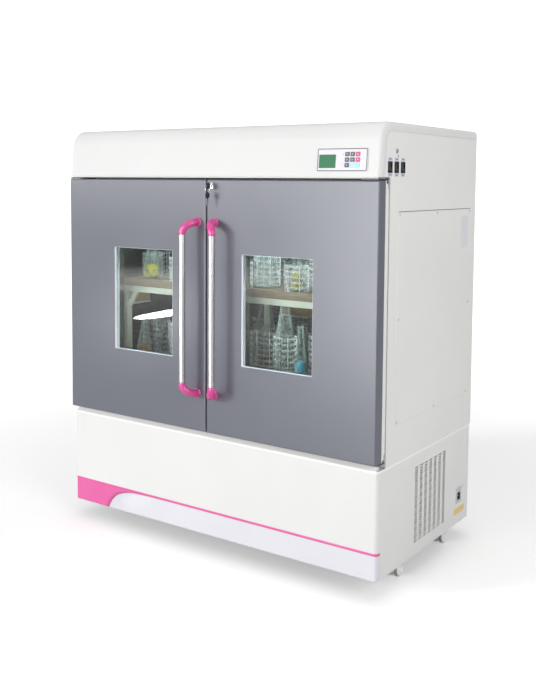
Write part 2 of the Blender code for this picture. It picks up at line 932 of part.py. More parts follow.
def build_switches():
    """Three rocker switches in one moulded block on the right side of the head."""
    face = half_width
    level = head_bottom + rocker_rise
    first = front + rocker_first
    well_y = rocker_width / 2 + rocker_clearance
    well_z = rocker_height / 2 + rocker_clearance
    inner = face - block_depth
    back_low = (inner, first - well_y - block_wall, level - well_z - block_wall)
    back_high = (
        face - sheet - fit_gap,
        first + 2 * rocker_pitch + well_y + block_wall,
        level + well_z + block_wall,
    )
    block = box(back_low, back_high)
    for row in range(3):
        centre = first + row * rocker_pitch
        collar_block = box(
            (face - block_depth / 2, centre - well_y - block_wall, level - well_z - block_wall),
            (face + block_wall / 2, centre + well_y + block_wall, level + well_z + block_wall),
        )
        join(block, collar_block)
    for row in range(3):
        centre = first + row * rocker_pitch
        well = box(
            (inner + block_wall, centre - well_y, level - well_z),
            (face + overrun, centre + well_y, level + well_z),
        )
        cut(block, well)
        pin_place = (face - rocker_depth, centre - well_y - block_wall / 2, level)
        join(block, cylinder(pin_place, rocker_pin, 2 * well_y + block_wall, "Y", 12))
    part(block, "switch_block", dark_plastic)
    for row in range(3):
        centre = first + row * rocker_pitch
        half = rocker_height / 2
        outline = [
            (-rocker_depth, -half * rocker_foot_share),
            (rocker_crown, -half),
            (rocker_crown - rocker_dip, 0),
            (rocker_crown, half),
            (-rocker_depth, half * rocker_foot_share),
        ]
        rocker = prism([outline], -rocker_width / 2, rocker_width, "Y")
        cut_pin = cylinder((0, -overrun, 0), rocker_pin + bore_gap, 2 * overrun, "Y", 12)
        tilt = Matrix.Rotation(rocker_tilt, 4, "Y")
        place = Matrix.Translation((face - rocker_depth, centre, level))
        bpy.context.view_layer.update()
        rocker.matrix_world = place @ tilt @ rocker.matrix_world
        cut_pin.matrix_world = place @ cut_pin.matrix_world
        cut(rocker, cut_pin)
        part(rocker, f"rocker_{row + 1}", dark_plastic)
        carry(pivot(f"rocker_{row + 1}_axis", (face - rocker_depth, centre, level)), rocker)


def build_base():
    """Base shell with rounded corners, its side grille and the mains inlet."""
    low_y = front + base_setback
    outer = rounded_rectangle(-half_width, low_y, half_width, back, base_round, base_round_steps)
    inner = rounded_rectangle(
        -half_width + sheet, low_y + sheet, half_width - sheet, back - sheet, base_round - sheet, base_round_steps
    )
    shell = prism([outer, inner], base_bottom, base_height, "Z")
    column_pitch = (grille_length - slot_length) / (grille_columns - 1)
    row_pitch = (grille_height - slot_height) / (grille_rows - 1)
    first_y = front + grille_front
    first_z = base_bottom + grille_bottom
    slot = box(
        (half_width - overrun, first_y, first_z),
        (half_width + overrun, first_y + slot_length, first_z + slot_height),
    )
    repeat(slot, grille_columns, (0, column_pitch, 0))
    cut(shell, repeat(slot, grille_rows, (0, 0, row_pitch)))
    centre_y = front + inlet_y
    centre_z = base_bottom + inlet_z
    hole_y = inlet_width / 2 + fit_gap
    hole_z = inlet_height / 2 + fit_gap
    cut(
        shell,
        box(
            (half_width - overrun, centre_y - hole_y, centre_z - hole_z),
            (half_width + overrun, centre_y + hole_y, centre_z + hole_z),
        ),
    )
    part(shell, "base_shell", white_paint)

    body = box(
        (half_width - inlet_depth, centre_y - inlet_width / 2, centre_z - inlet_height / 2),
        (half_width + inlet_flange_thickness / 2, centre_y + inlet_width / 2, centre_z + inlet_height / 2),
    )
    flange_y = inlet_width / 2 + inlet_flange
    flange_z = inlet_height / 2 + inlet_flange
    flange = box(
        (half_width + fit_gap, centre_y - flange_y, centre_z - flange_z),
        (half_width + fit_gap + inlet_flange_thickness, centre_y + flange_y, centre_z + flange_z),
    )
    join(body, flange)
    recess_y = inlet_width / 2 - inlet_wall
    recess_z = inlet_height / 2 - inlet_wall
    recess = box(
        (half_width - inlet_recess, centre_y - recess_y, centre_z - recess_z),
        (half_width + overrun, centre_y + recess_y, centre_z + recess_z),
    )
    cut(body, recess)
    for side_y, side_z in ((-1, 0), (1, 0), (0, 1)):
        place_y = centre_y + side_y * inlet_pin_spread
        place_z = centre_z + side_z * inlet_pin_spread
        start = half_width - inlet_recess - inlet_wall / 2
        join(body, cylinder((start, place_y, place_z), inlet_pin_radius, inlet_pin_length, "X", 10))
    part(body, "power_inlet", dark_plastic)


def build_chassis():
    """Floor plate, legs and the drive plate with its bearing hubs."""
    low_y = front + base_setback + sheet + fit_gap
    side = half_width - sheet - fit_gap
    outline = rounded_rectangle(-side, low_y, side, back - sheet - fit_gap, base_round - sheet, base_round_steps)
    chassis = prism([outline], base_bottom + fit_gap, chassis_plate, "Z")
    plate_bottom = base_bottom + drive_plate_rise
    plate_top = plate_bottom + drive_plate_thickness
    centre = front + deck_centre
    near = centre - drive_plate_depth / 2
    far = centre + drive_plate_depth / 2
    join(chassis, box((-drive_plate_half, near, plate_bottom), (drive_plate_half, far, plate_top)))
    leg_low = base_bottom + chassis_plate / 2
    for side_x in (-1, 1):
        for place_y in (near + leg_inset, far - leg_inset - chassis_leg):
            edge = side_x * (drive_plate_half - leg_inset)
            low_x, high_x = sorted((edge, edge - side_x * chassis_leg))
            leg_top = plate_bottom + drive_plate_thickness / 2
            join(chassis, box((low_x, place_y, leg_low), (high_x, place_y + chassis_leg, leg_top)))
    radii = (hub_radius, idler_hub_radius, idler_hub_radius)
    for (place_x, place_y, bore), outer in zip(crank_places(), radii):
        hub_base = plate_bottom - hub_below
        hub_height = hub_below + drive_plate_thickness + hub_above
        join(chassis, cylinder((place_x, place_y, hub_base), outer, hub_height))
        tool_base = (place_x, place_y, hub_base - overrun)
        cut(chassis, cylinder(tool_base, bore + bore_gap, hub_height + 2 * overrun, "Z", shaft_sides))
    return part(chassis, "chassis", grey_steel)


def hub_top():
    """Level of the top face of the bearing hubs."""
    return base_bottom + drive_plate_rise + drive_plate_thickness + hub_above


def crank(place, radius, web_radius, pin_radius, below):
    """Shaft with collar, web and offset pin, standing in its bearing hub."""
    place_x, place_y = place
    web_bottom = chamber_floor + web_rise
    bottom = base_bottom + drive_plate_rise - below
    shaft = cylinder((place_x, place_y, bottom), radius, web_bottom + crank_web / 2 - bottom, "Z", shaft_sides)
    join(shaft, cylinder((place_x, place_y, hub_top() + fit_gap), radius + collar_width, collar))
    join(shaft, cylinder((place_x, place_y, web_bottom), web_radius, crank_web))
    pin_base = web_bottom + crank_web / 2
    join(shaft, cylinder((place_x + throw, place_y, pin_base), pin_radius, crank_web / 2 + crank_pin_length))
    return shaft


def pulley_profile(radius, bore):
    """Section of a flat-belt pulley with two low lips, as a closed loop."""
    half = pulley_width / 2
    lip = radius + pulley_lip
    return [
        (bore, half),
        (lip, half),
        (lip, half - pulley_lip_width),
        (radius, half - pulley_lip_width),
        (radius, -half + pulley_lip_width),
        (lip, -half + pulley_lip_width),
        (lip, -half),
        (bore, -half),
        (bore, half),
    ]


def belt_outline(near_radius, far_radius, distance):
    """Loop of a belt round two wheels: near wheel at the origin, far wheel on the -X side."""
    lean = math.asin((near_radius - far_radius) / distance)
    near_radius /= math.cos((math.pi / 2 + lean) / (2 * belt_arc_steps))
    far_radius /= math.cos((math.pi / 2 - lean) / belt_arc_steps)
    points = []
    for step in range(2 * belt_arc_steps + 1):
        angle = -math.pi / 2 - lean + step / (2 * belt_arc_steps) * (math.pi + 2 * lean)
        points.append((near_radius * math.cos(angle), near_radius * math.sin(angle)))
    for step in range(belt_arc_steps + 1):
        angle = math.pi / 2 + lean + step / belt_arc_steps * (math.pi - 2 * lean)
        points.append((-distance + far_radius * math.cos(angle), far_radius * math.sin(angle)))
    return points


def build_drive():
    """Motor, belt, driven main crank and the two idler cranks."""
    main, left, right = crank_places()
    belt_level = base_bottom + drive_plate_rise - pulley_drop
    main_crank = crank(main[:2], shaft_radius, crank_web_radius, crank_pin_radius, shaft_below)
    wheel = turned(pulley_profile(pulley_radius, shaft_radius / 2), (main[0], main[1], belt_level), steps=28)
    weight_low = belt_level + pulley_width / 2 - pulley_lip_width
    weight = box(
        (main[0] - balance_inset - balance_width, main[1] - balance_length / 2, weight_low),
        (main[0] - balance_inset, main[1] + balance_length / 2, weight_low + balance_height),
    )
    join(main_crank, wheel, weight)
    part(main_crank, "main_crank", grey_steel)
    carry(pivot("main_crank_axis", (main[0], main[1], belt_level)), main_crank)

    for name, place in (("idler_crank_left", left), ("idler_crank_right", right)):
        idler = crank(place[:2], idler_shaft_radius, idler_web_radius, idler_pin_radius, hub_below * 2)
        part(idler, name, grey_steel)
        carry(pivot(name + "_axis", (place[0], place[1], chamber_floor)), idler)

    motor_floor = base_bottom + fit_gap + chassis_plate + fit_gap
    body_top = motor_floor + motor_height
    motor = cylinder((motor_x, main[1], motor_floor), motor_radius, motor_height)
    round_edges(motor, motor_boss_height / 3, 2)
    join(motor, cylinder((motor_x, main[1], body_top - motor_boss_height / 2), motor_boss_radius, motor_boss_height))
    shaft_top = belt_level + pulley_width
    shaft_base = body_top - motor_boss_height / 2
    join(motor, cylinder((motor_x, main[1], shaft_base), motor_shaft_radius, shaft_top - shaft_base))
    part(motor, "drive_motor", dark_paint)

    small = turned(
        pulley_profile(motor_pulley_radius, motor_shaft_radius + bore_gap), (motor_x, main[1], belt_level), steps=20
    )
    part(small, "motor_pulley", grey_steel)

    belt_half = pulley_width / 2 - pulley_lip_width - fit_gap
    inner = belt_outline(pulley_radius + fit_gap, motor_pulley_radius + fit_gap, -motor_x)
    outer = belt_outline(
        pulley_radius + fit_gap + belt_thickness, motor_pulley_radius + fit_gap + belt_thickness, -motor_x
    )
    belt = prism([outer, inner], belt_level - belt_half, 2 * belt_half, "Z")
    belt.location.x += main[0]
    belt.location.y += main[1]
    part(belt, "drive_belt", rubber)


def build_platform():
    """Welded frame of two decks on five posts, with the bearings of the three crank pins."""
    centre = front + deck_centre
    low_y = centre - deck_depth / 2
    high_y = centre + deck_depth / 2
    low_z = chamber_floor + deck_rise
    frame = None
    for level in (low_z, low_z + deck_spacing):
        ring = box((-deck_half, low_y, level), (deck_half, high_y, level + beam_height))
        hole = box(
            (-deck_half + beam_width, low_y + beam_width, level - overrun),
            (deck_half - beam_width, high_y - beam_width, level + beam_height + overrun),
        )
        cut(ring, hole)
        cross_y = centre - bearing_bar / 2
        bar = box(
            (-deck_half + beam_width / 2, cross_y, level),
            (deck_half - beam_width / 2, cross_y + bearing_bar, level + beam_height / 2),
        )
        join(ring, bar)
        if frame is None:
            frame = ring
        else:
            join(frame, ring)
    for place_x, place_y, _ in crank_places():
        pin_x = place_x + throw
        bar_low = place_y - bearing_bar / 2
        if place_x <= 0:
            bar = box(
                (-deck_half + beam_width / 2, bar_low, low_z),
                (deck_half - beam_width / 2, bar_low + bearing_bar, low_z + beam_height / 2),
            )
            join(frame, bar)
        radius = crank_pin_radius if place_x == 0 else idler_pin_radius
        boss_low = chamber_floor + web_rise + crank_web + fit_gap
        boss_height = low_z + beam_height - boss_low
        join(frame, cylinder((pin_x, place_y, boss_low), radius + pivot_gap + boss_wall, boss_height))
    for place_x, place_y, _ in crank_places():
        radius = crank_pin_radius if place_x == 0 else idler_pin_radius
        gap = bore_gap if place_x == 0 else pivot_gap
        bore_low = (place_x + throw, place_y, low_z - overrun * 2)
        cut(frame, cylinder(bore_low, radius + gap, beam_height + overrun * 4))
    post_low = low_z + beam_height / 4
    post_top = low_z + deck_spacing + beam_height / 4
    for place_x, place_y in post_places():
        join(
            frame,
            box(
                (place_x - beam_width / 2, place_y - beam_width / 2, post_low),
                (place_x + beam_width / 2, place_y + beam_width / 2, post_top),
            ),
        )
    rail_low = low_z + deck_spacing
    for side_x in (-1, 1):
        for place_y in (low_y + beam_width / 2, high_y - beam_width / 2):
            inner_x = side_x * (deck_half - beam_width / 2)
            outline = [
                (inner_x, rail_low - gusset_drop),
                (inner_x - side_x * gusset_run, rail_low + beam_height / 4),
                (inner_x - side_x * (gusset_run - gusset_width), rail_low + beam_height / 2),
                (inner_x, rail_low - gusset_drop + gusset_width * gusset_drop / gusset_run),
            ]
            join(frame, prism([outline], place_y - gusset_thickness / 2, gusset_thickness, "Y"))
    part(frame, "platform_frame", rack_paint)


def post_places():
    """Centres of the platform's corner posts and of its middle post."""
    centre = front + deck_centre
    side = deck_half - beam_width / 2
    reach = deck_depth / 2 - beam_width / 2
    corners = [(sign_x * side, centre + sign_y * reach) for sign_x in (-1, 1) for sign_y in (-1, 1)]
    return corners + [(0, centre)]


def build_tray(name, level, pierced):
    """Deck plate with rows of round clamp feet standing on it."""
    centre = front + deck_centre
    tray = box(
        (-deck_half, centre - deck_depth / 2, level),
        (deck_half, centre + deck_depth / 2, level + tray_thickness),
    )
    if pierced:
        reach = beam_width / 2 + tray_notch_gap
        for place_x, place_y in post_places():
            low_x = place_x - reach - (overrun if place_x < 0 else 0)
            high_x = place_x + reach + (overrun if place_x > 0 else 0)
            low_y = place_y - reach - (overrun if place_y < centre else 0)
            high_y = place_y + reach + (overrun if place_y > centre else 0)
            cut(tray, box((low_x, low_y, level - overrun), (high_x, high_y, level + tray_thickness + overrun)))
    first_x = -clamp_pitch_x * (clamp_columns - 1) / 2
    first_y = centre - clamp_pitch_y * (clamp_rows - 1) / 2
    foot_low = level + tray_thickness / 2
    foot_height = tray_thickness / 2 + clamp_height
    foot = cylinder((first_x, first_y, foot_low), clamp_radius, foot_height, "Z", clamp_sides)
    repeat(foot, clamp_columns, (clamp_pitch_x, 0, 0))
    repeat(foot, clamp_rows, (0, clamp_pitch_y, 0))
    join(tray, foot)
    return part(tray, name, tray_finish)


def build_trays():
    """Lower and upper trays on the platform's decks."""
    lower = chamber_floor + deck_rise + beam_height + fit_gap
    build_tray("lower_tray", lower, True)
    build_tray("upper_tray", lower + deck_spacing, False)


def build_cooling_unit():
    """Compressor, condenser block and fan motor on one plate, and the fan they share."""
    floor = base_bottom + fit_gap + chassis_plate + fit_gap
    centre_y = front + grille_front + grille_length / 2
    compressor_y = centre_y - cooling_fan_radius - compressor_gap - compressor_radius
    low_y = compressor_y - compressor_radius - unit_margin
    unit = box((unit_x, low_y, floor), (unit_x + unit_width, back - unit_rear, floor + unit_plate))
    dome_floor = floor + unit_plate / 2
    dome_height = compressor_height
    dome = turned(
        [
            (0, dome_height),
            (compressor_radius - compressor_shoulder, dome_height),
            (compressor_radius, dome_height - compressor_shoulder),
            (compressor_radius, 0),
            (0, 0),
        ],
        (unit_x + unit_width / 2, compressor_y, dome_floor),
        steps=20,
    )
    join(unit, dome)
    centre_z = base_bottom + grille_bottom + grille_height / 2
    condenser_high = half_width - sheet - condenser_gap
    condenser_low = condenser_high - condenser_thickness
    tall_low = floor + unit_plate / 2
    tall_high = tall_low + condenser_height
    condenser = box(
        (condenser_low, centre_y - condenser_length / 2, tall_low),
        (condenser_high, centre_y + condenser_length / 2, tall_high),
    )
    slot_span = condenser_height - 2 * condenser_rim - condenser_slot
    slot = box(
        (condenser_low - overrun, centre_y - condenser_length / 2 + condenser_rim, tall_low + condenser_rim),
        (
            condenser_high + overrun / 2,
            centre_y + condenser_length / 2 - condenser_rim,
            tall_low + condenser_rim + condenser_slot,
        ),
    )
    cut(condenser, repeat(slot, condenser_slots, (0, 0, slot_span / (condenser_slots - 1))))
    join(unit, condenser)
    fan_start = condenser_low - cooling_fan_gap - cooling_fan_width
    motor_end = fan_start - cooling_fan_gap
    motor_start = motor_end - cooling_motor_length
    fan_centre_z = min(centre_z, tall_low + condenser_height / 2)
    post = box(
        (motor_start, centre_y - cooling_post / 2, tall_low),
        (motor_start + cooling_post, centre_y + cooling_post / 2, fan_centre_z),
    )
    motor = cylinder((motor_start, centre_y, fan_centre_z), cooling_motor_radius, cooling_motor_length, "X", 20)
    shaft_length = cooling_fan_gap + cooling_fan_width + cooling_motor_length / 2
    shaft_start = motor_end - cooling_motor_length / 2
    shaft = cylinder((shaft_start, centre_y, fan_centre_z), fan_shaft_radius, shaft_length, "X", 16)
    join(unit, post, motor, shaft)
    part(unit, "cooling_unit", dark_paint)
    fan = fan_rotor(
        fan_start,
        (centre_y, fan_centre_z),
        cooling_fan_radius,
        fan_hub_radius,
        cooling_fan_width,
        fan_shaft_radius + bore_gap,
    )
    part(fan, "cooling_fan", dark_plastic)
    carry(pivot("cooling_fan_axis", (fan_start, centre_y, fan_centre_z)), fan)


def build_seal():
    """Rubber seal ring on the cabinet face, round the chamber mouth."""
    half = mouth_half + seal_inset + seal_width
    low = mouth_bottom - seal_inset - seal_width
    high = mouth_top + seal_inset + seal_width
    ring = box((-half, door_back + fit_gap, low), (half, frame_front - fit_gap, high))
    cut(
        ring,
        box(
            (-half + seal_width, front, low + seal_width),
            (half - seal_width, frame_front + overrun, high - seal_width),
        ),
    )
    return part(ring, "door_seal", rubber)


def sided(side, low_x, high_x):
    """Order two X positions, given for the right side, for either side."""
    return sorted((side * low_x, side * high_x))


def build_door(name, side):
    """Hollow steel door leaf with its glazed window, and the pane."""
    low_x, high_x = sided(side, door_inner, door_outer)
    leaf = box((low_x, front, door_bottom), (high_x, door_back, door_top))
    round_edges(leaf, door_edge_round, 3)
    wall = door_skin
    cavity = box(
        (low_x + wall, front + wall, door_bottom + wall),
        (high_x - wall, door_back - wall, door_top - wall),
    )
    glass_low, glass_high = sided(side, window_inner, window_outer)
    border = window_rebate + wall
    sleeve = box(
        (glass_low - border, front - overrun, window_bottom - border),
        (glass_high + border, door_back + overrun, window_top + border),
    )
    cut(cavity, sleeve)
    pin_low, pin_high = sided(side, hinge_x - 2 * hinge_pin_radius, door_outer + overrun)
    block_reach = hinge_pin_reach + wall
    for level in (door_bottom, door_top - block_reach - wall):
        socket = box(
            (pin_low, hinge_y - 2 * hinge_pin_radius, level - overrun),
            (pin_high, door_back + overrun, level + block_reach + wall + overrun),
        )
        cut(cavity, socket)
    cut(leaf, cavity)
    opening = box(
        (glass_low, front - overrun, window_bottom), (glass_high, door_back + overrun, window_top)
    )
    rebate = box(
        (glass_low - window_rebate, front + window_step, window_bottom - window_rebate),
        (glass_high + window_rebate, door_back + overrun, window_top + window_rebate),
    )
    cut(leaf, opening, rebate)
    bore = hinge_pin_radius + bore_gap
    for level in (door_bottom - overrun, door_top - hinge_pin_reach):
        cut(leaf, cylinder((side * hinge_x, hinge_y, level), bore, overrun + hinge_pin_reach, "Z", 16))
    drain = side * (door_inner + door_outer) / 2
    mid_y = (front + door_back) / 2
    cut(leaf, cylinder((drain, mid_y, door_bottom - overrun), door_drain_radius, 2 * overrun, "Z", 12))
    if side > 0:
        place = (lock_x, front - overrun, lock_z)
        cut(leaf, cylinder(place, lock_barrel_radius + bore_gap, 2 * overrun, "Y", 20))
    part(leaf, name + "_door", door_paint)
    gap = window_rebate - fit_gap
    pane = box(
        (glass_low - gap, front + window_step + fit_gap, window_bottom - gap),
        (glass_high + gap, front + window_step + fit_gap + pane_thickness, window_top + gap),
    )
    part(pane, name + "_pane", glass_finish)
    build_handle(name, side, leaf, pane)


def elbow_points(side, level, direction):
    """Path of a handle elbow: straight out of the door, then along the grip."""
    foot = Vector((side * handle_base_x, front - fit_gap, level + direction * handle_elbow_rise))
    neck = Vector((side * handle_tube_x, handle_axis_y, level + direction * fit_gap))
    start = foot + Vector((0, -elbow_straight, 0))
    end = neck + Vector((0, 0, direction * elbow_straight))
    lead = start + Vector((0, -elbow_lead, 0))
    tail = end + Vector((0, 0, direction * elbow_tail))
    points = [foot]
    for step in range(elbow_steps + 1):
        share = step / elbow_steps
        rest = 1 - share
        points.append(rest**3 * start + 3 * rest**2 * share * lead + 3 * rest * share**2 * tail + share**3 * end)
    return points + [neck]


def build_handle(name, side, leaf, pane):
    """Long steel grip held off the door by two coloured elbows."""
    grip = cylinder((side * handle_tube_x, handle_axis_y, tube_bottom), tube_radius, handle_length, "Z", 20)
    part(grip, name + "_grip", brushed_steel)
    upper = tube(elbow_points(side, tube_top, 1), elbow_radius)
    part(upper, name + "_elbow_upper", pink_plastic)
    lower = tube(elbow_points(side, tube_bottom, -1), elbow_radius)
    part(lower, name + "_elbow_lower", pink_plastic)
    marker = pivot(name + "_door_axis", (side * hinge_x, hinge_y, (door_bottom + door_top) / 2))
    carry(marker, leaf, pane, grip, upper, lower)


def build_hinge(name, side, upper):
    """Bracket with a leaf on the cabinet face, a plate over the door edge and a pin."""
    low_x, high_x = sided(side, half_width - hinge_edge - hinge_plate_length, half_width - hinge_edge)
    leaf_back = frame_front - fit_gap
    leaf_front = leaf_back - hinge_leaf
    if upper:
        plate_low = door_top + hinge_plate_gap
        pin_base = plate_low - hinge_pin_reach
        leaf_low = plate_low + hinge_plate - hinge_leaf_drop
    else:
        plate_low = door_bottom - hinge_plate_gap - hinge_plate
        pin_base = plate_low + hinge_plate / 2
        leaf_low = plate_low
    plate_front = hinge_y - hinge_pin_radius - hinge_plate_front
    bracket = box((low_x, plate_front, plate_low), (high_x, leaf_back, plate_low + hinge_plate))
    leaf_low_x, leaf_high_x = sided(
        side, half_width - hinge_edge - hinge_plate_length, half_width - hinge_leaf_edge
    )
    leaf = box((leaf_low_x, leaf_front, leaf_low), (leaf_high_x, leaf_back, leaf_low + hinge_leaf_drop))
    reach = hinge_pin_reach + hinge_plate / 2
    join(bracket, leaf, cylinder((side * hinge_x, hinge_y, pin_base), hinge_pin_radius, reach, "Z", 16))
    return part(bracket, name, dark_paint)


def key_bow(centre):
    """Flat round head of a key, standing in the YZ plane."""
    start = centre[0] - key_bow_thickness / 2
    return cylinder((start, centre[1], centre[2]), key_bow_radius, key_bow_thickness, "X", 20)


def build_lock():
    """Cam lock on the right door with its key in it and a spare hanging from the ring."""
    flange_back = front - fit_gap
    barrel = cylinder((lock_x, flange_back - lock_flange, lock_z), lock_flange_radius, lock_flange, "Y", 24)
    body_start = flange_back - lock_flange / 2
    join(barrel, cylinder((lock_x, body_start, lock_z), lock_barrel_radius, lock_barrel_length, "Y"))
    face = flange_back - lock_flange
    keyway = box(
        (lock_x - keyway_width / 2, face - overrun, lock_z - keyway_height / 2),
        (lock_x + keyway_width / 2, face + keyway_depth, lock_z + keyway_height / 2),
    )
    cut(barrel, keyway)
    part(barrel, "lock_barrel", chrome)

    blade_end = face + keyway_depth - fit_gap
    key = box(
        (lock_x - key_blade_width / 2, blade_end - key_blade_length, lock_z - key_blade_height / 2),
        (lock_x + key_blade_width / 2, blade_end, lock_z + key_blade_height / 2),
    )
    bow_y = blade_end - key_blade_length - key_bow_radius + key_blade_width
    join(key, key_bow((lock_x, bow_y, lock_z)))
    hole_y = bow_y - key_bow_radius + key_bow_rim + key_bow_hole
    hole = cylinder((lock_x - overrun, hole_y, lock_z), key_bow_hole, 2 * overrun, "X", 12)
    cut(key, hole)
    part(key, "lock_key", dark_plastic)

    swing_z = lock_z - key_bow_hole + ring_wire + fit_gap
    ring_z = swing_z - ring_radius
    loop = []
    for step in range(ring_steps):
        angle = 2 * math.pi * step / ring_steps
        loop.append((lock_x + ring_radius * math.sin(angle), hole_y, ring_z + ring_radius * math.cos(angle)))
    ring = tube(loop, ring_wire, closed=True, rings=1)
    bow_z = ring_z - ring_radius - key_bow_radius + key_bow_rim
    join(ring, key_bow((lock_x, hole_y, bow_z)))
    blade_top = bow_z - key_bow_radius + spare_overlap
    blade = box(
        (lock_x - key_blade_width / 2, hole_y - spare_blade_width / 2, blade_top - spare_blade_length),
        (lock_x + key_blade_width / 2, hole_y + spare_blade_width / 2, blade_top),
    )
    join(ring, blade)
    part(ring, "spare_key", dark_plastic)
    carry(pivot("lock_axis", (lock_x, front, lock_z)), barrel, key)
    carry(pivot("spare_key_axis", (lock_x, hole_y, swing_z)), ring)


def build_caster(name, side, distance):
    """Twin-wheel caster: a swivelling web under its plate, and the wheel pair."""
    stem_x = side * caster_x
    stem_y = front + distance
    axle = (stem_x, stem_y + caster_trail, caster_wheel_radius)
    top = base_bottom
    stem_base = 2 * caster_wheel_radius + caster_side_gap
    web = cylinder((stem_x - caster_web / 2, axle[1], axle[2]), caster_web_radius, caster_web, "X")
    riser = box(
        (stem_x - caster_riser / 2, stem_y - caster_stem_radius, axle[2]),
        (stem_x + caster_riser / 2, axle[1], stem_base + caster_plate),
    )
    stem = cylinder((stem_x, stem_y, stem_base), caster_stem_radius, top - caster_plate / 2 - stem_base)
    plate = box(
        (stem_x - caster_plate_half, stem_y - caster_plate_half, top - caster_plate),
        (stem_x + caster_plate_half, stem_y + caster_plate_half, top),
    )
    join(web, riser, stem, plate)
    bore = caster_axle_radius + bore_gap
    cut(web, cylinder((stem_x - overrun, axle[1], axle[2]), bore, 2 * overrun, "X", 12))
    part(web, name + "_swivel", clear_plastic)

    inner = caster_web / 2 + caster_side_gap
    span = inner + caster_wheel_width
    wheel = cylinder((stem_x - span, axle[1], axle[2]), caster_wheel_radius, 2 * span, "X", 20)
    round_edges(wheel, caster_wheel_round, 1)
    gap = cylinder((stem_x - inner, axle[1], axle[2]), caster_wheel_radius + overrun, 2 * inner, "X", 8)
    cut(gap, cylinder((stem_x - span, axle[1], axle[2]), caster_axle_radius, 2 * span, "X", 12))
    cut(wheel, gap)
    part(wheel, name + "_wheels", clear_plastic)
    swivel_axis = pivot(name + "_axis", (stem_x, stem_y, top))
    roll_axis = pivot(name + "_roll_axis", axle)
    carry(swivel_axis, web)
    carry(roll_axis, wheel)


clear_scene()
parts = new_collection("incubated_shaker")
cutters = new_collection("cutters")

white_paint = new_material("white_paint", (0.86, 0.86, 0.84), 0.35)
side_paint = new_material("side_paint", (0.8, 0.79, 0.77), 0.4)
door_paint = new_material("door_paint", (0.33, 0.35, 0.4), 0.38)
pink_plastic = new_material("pink_plastic", (0.84, 0.08, 0.36), 0.3)
brushed_steel = new_material("brushed_steel", (0.75, 0.75, 0.76), 0.28, 1.0)
chrome = new_material("chrome", (0.8, 0.8, 0.82), 0.12, 1.0)
stainless = new_material("stainless", (0.62, 0.64, 0.63), 0.3, 1.0)
foam_finish = new_material("foam", (0.85, 0.8, 0.62), 0.9)
dark_plastic = new_material("dark_plastic", (0.03, 0.03, 0.035), 0.45)
dark_paint = new_material("dark_paint", (0.06, 0.06, 0.07), 0.5)
grey_steel = new_material("grey_steel", (0.4, 0.41, 0.42), 0.45, 0.8)
rubber = new_material("rubber", (0.05, 0.05, 0.05), 0.8)
rack_paint = new_material("rack_paint", (0.75, 0.8, 0.75), 0.4)
tray_finish = new_material("tray", (0.45, 0.4, 0.3), 0.5)
glass_finish = new_material("glass", (0.8, 0.9, 0.88), 0.05)
fascia_finish = new_material("fascia", (0.9, 0.9, 0.92), 0.3)
display_finish = new_material("display", (0.08, 0.28, 0.14), 0.2)
key_dark = new_material("key_dark", (0.1, 0.1, 0.14), 0.5)
key_pink = new_material("key_pink", (0.68, 0.09, 0.3), 0.5)
key_cyan = new_material("key_cyan", (0.4, 0.75, 0.84), 0.5)
clear_plastic = new_material("clear_plastic", (0.7, 0.73, 0.74), 0.2)

build_cabinet_shell()
build_insulation()
build_liner()
build_service_panel()
build_circulation_fan()
build_head_cover()
build_fascia()
build_switches()
build_base()
build_chassis()
build_drive()
build_platform()
build_trays()
build_cooling_unit()
build_seal()
for door_name, door_side in (("left", -1), ("right", 1)):
    build_door(door_name, door_side)
    build_hinge(door_name + "_hinge_upper", door_side, True)
    build_hinge(door_name + "_hinge_lower", door_side, False)
build_lock()
for caster_name, caster_side, caster_place in (
    ("caster_front_left", -1, caster_front),
    ("caster_front_right", 1, caster_front),
    ("caster_rear_left", -1, caster_rear),
    ("caster_rear_right", 1, caster_rear),
):
    build_caster(caster_name, caster_side, caster_place)
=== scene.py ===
import math

import bmesh
import bpy
import numpy as np
from mathutils import Matrix, Vector


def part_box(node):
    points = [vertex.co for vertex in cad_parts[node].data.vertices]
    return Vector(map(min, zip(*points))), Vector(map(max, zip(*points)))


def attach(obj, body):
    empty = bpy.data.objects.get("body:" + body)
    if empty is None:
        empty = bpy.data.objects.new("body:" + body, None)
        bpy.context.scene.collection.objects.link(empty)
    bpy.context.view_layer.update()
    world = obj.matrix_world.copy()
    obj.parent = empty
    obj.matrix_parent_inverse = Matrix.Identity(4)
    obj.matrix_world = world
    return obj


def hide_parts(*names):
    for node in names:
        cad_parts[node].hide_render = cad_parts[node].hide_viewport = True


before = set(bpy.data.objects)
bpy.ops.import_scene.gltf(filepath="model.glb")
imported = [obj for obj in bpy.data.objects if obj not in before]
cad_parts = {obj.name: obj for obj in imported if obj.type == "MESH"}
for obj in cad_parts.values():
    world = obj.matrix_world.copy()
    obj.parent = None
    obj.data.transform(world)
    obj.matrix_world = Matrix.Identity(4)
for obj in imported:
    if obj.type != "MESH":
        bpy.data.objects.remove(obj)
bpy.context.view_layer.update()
scene = bpy.context.scene
print("frame loaded:", len(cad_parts), "nodes")

turn = 2 * math.pi
sharpAngle = math.radians(40)


# mesh tools: a shape is a pair (points as an n by 3 array, quads as an m by 4 array)

def gridQuads(rows, columns, closeRows=False, closeColumns=False):
    # point (i, j) is joined to (i, j+1), (i+1, j+1) and (i+1, j); closed ways wrap round
    i = np.arange(rows if closeRows else rows - 1)
    j = np.arange(columns if closeColumns else columns - 1)
    i, j = np.meshgrid(i, j, indexing="ij")
    nextI, nextJ = (i + 1) % rows, (j + 1) % columns
    corners = [i * columns + j, i * columns + nextJ, nextI * columns + nextJ, nextI * columns + j]
    return np.stack(corners, -1).reshape(-1, 4)


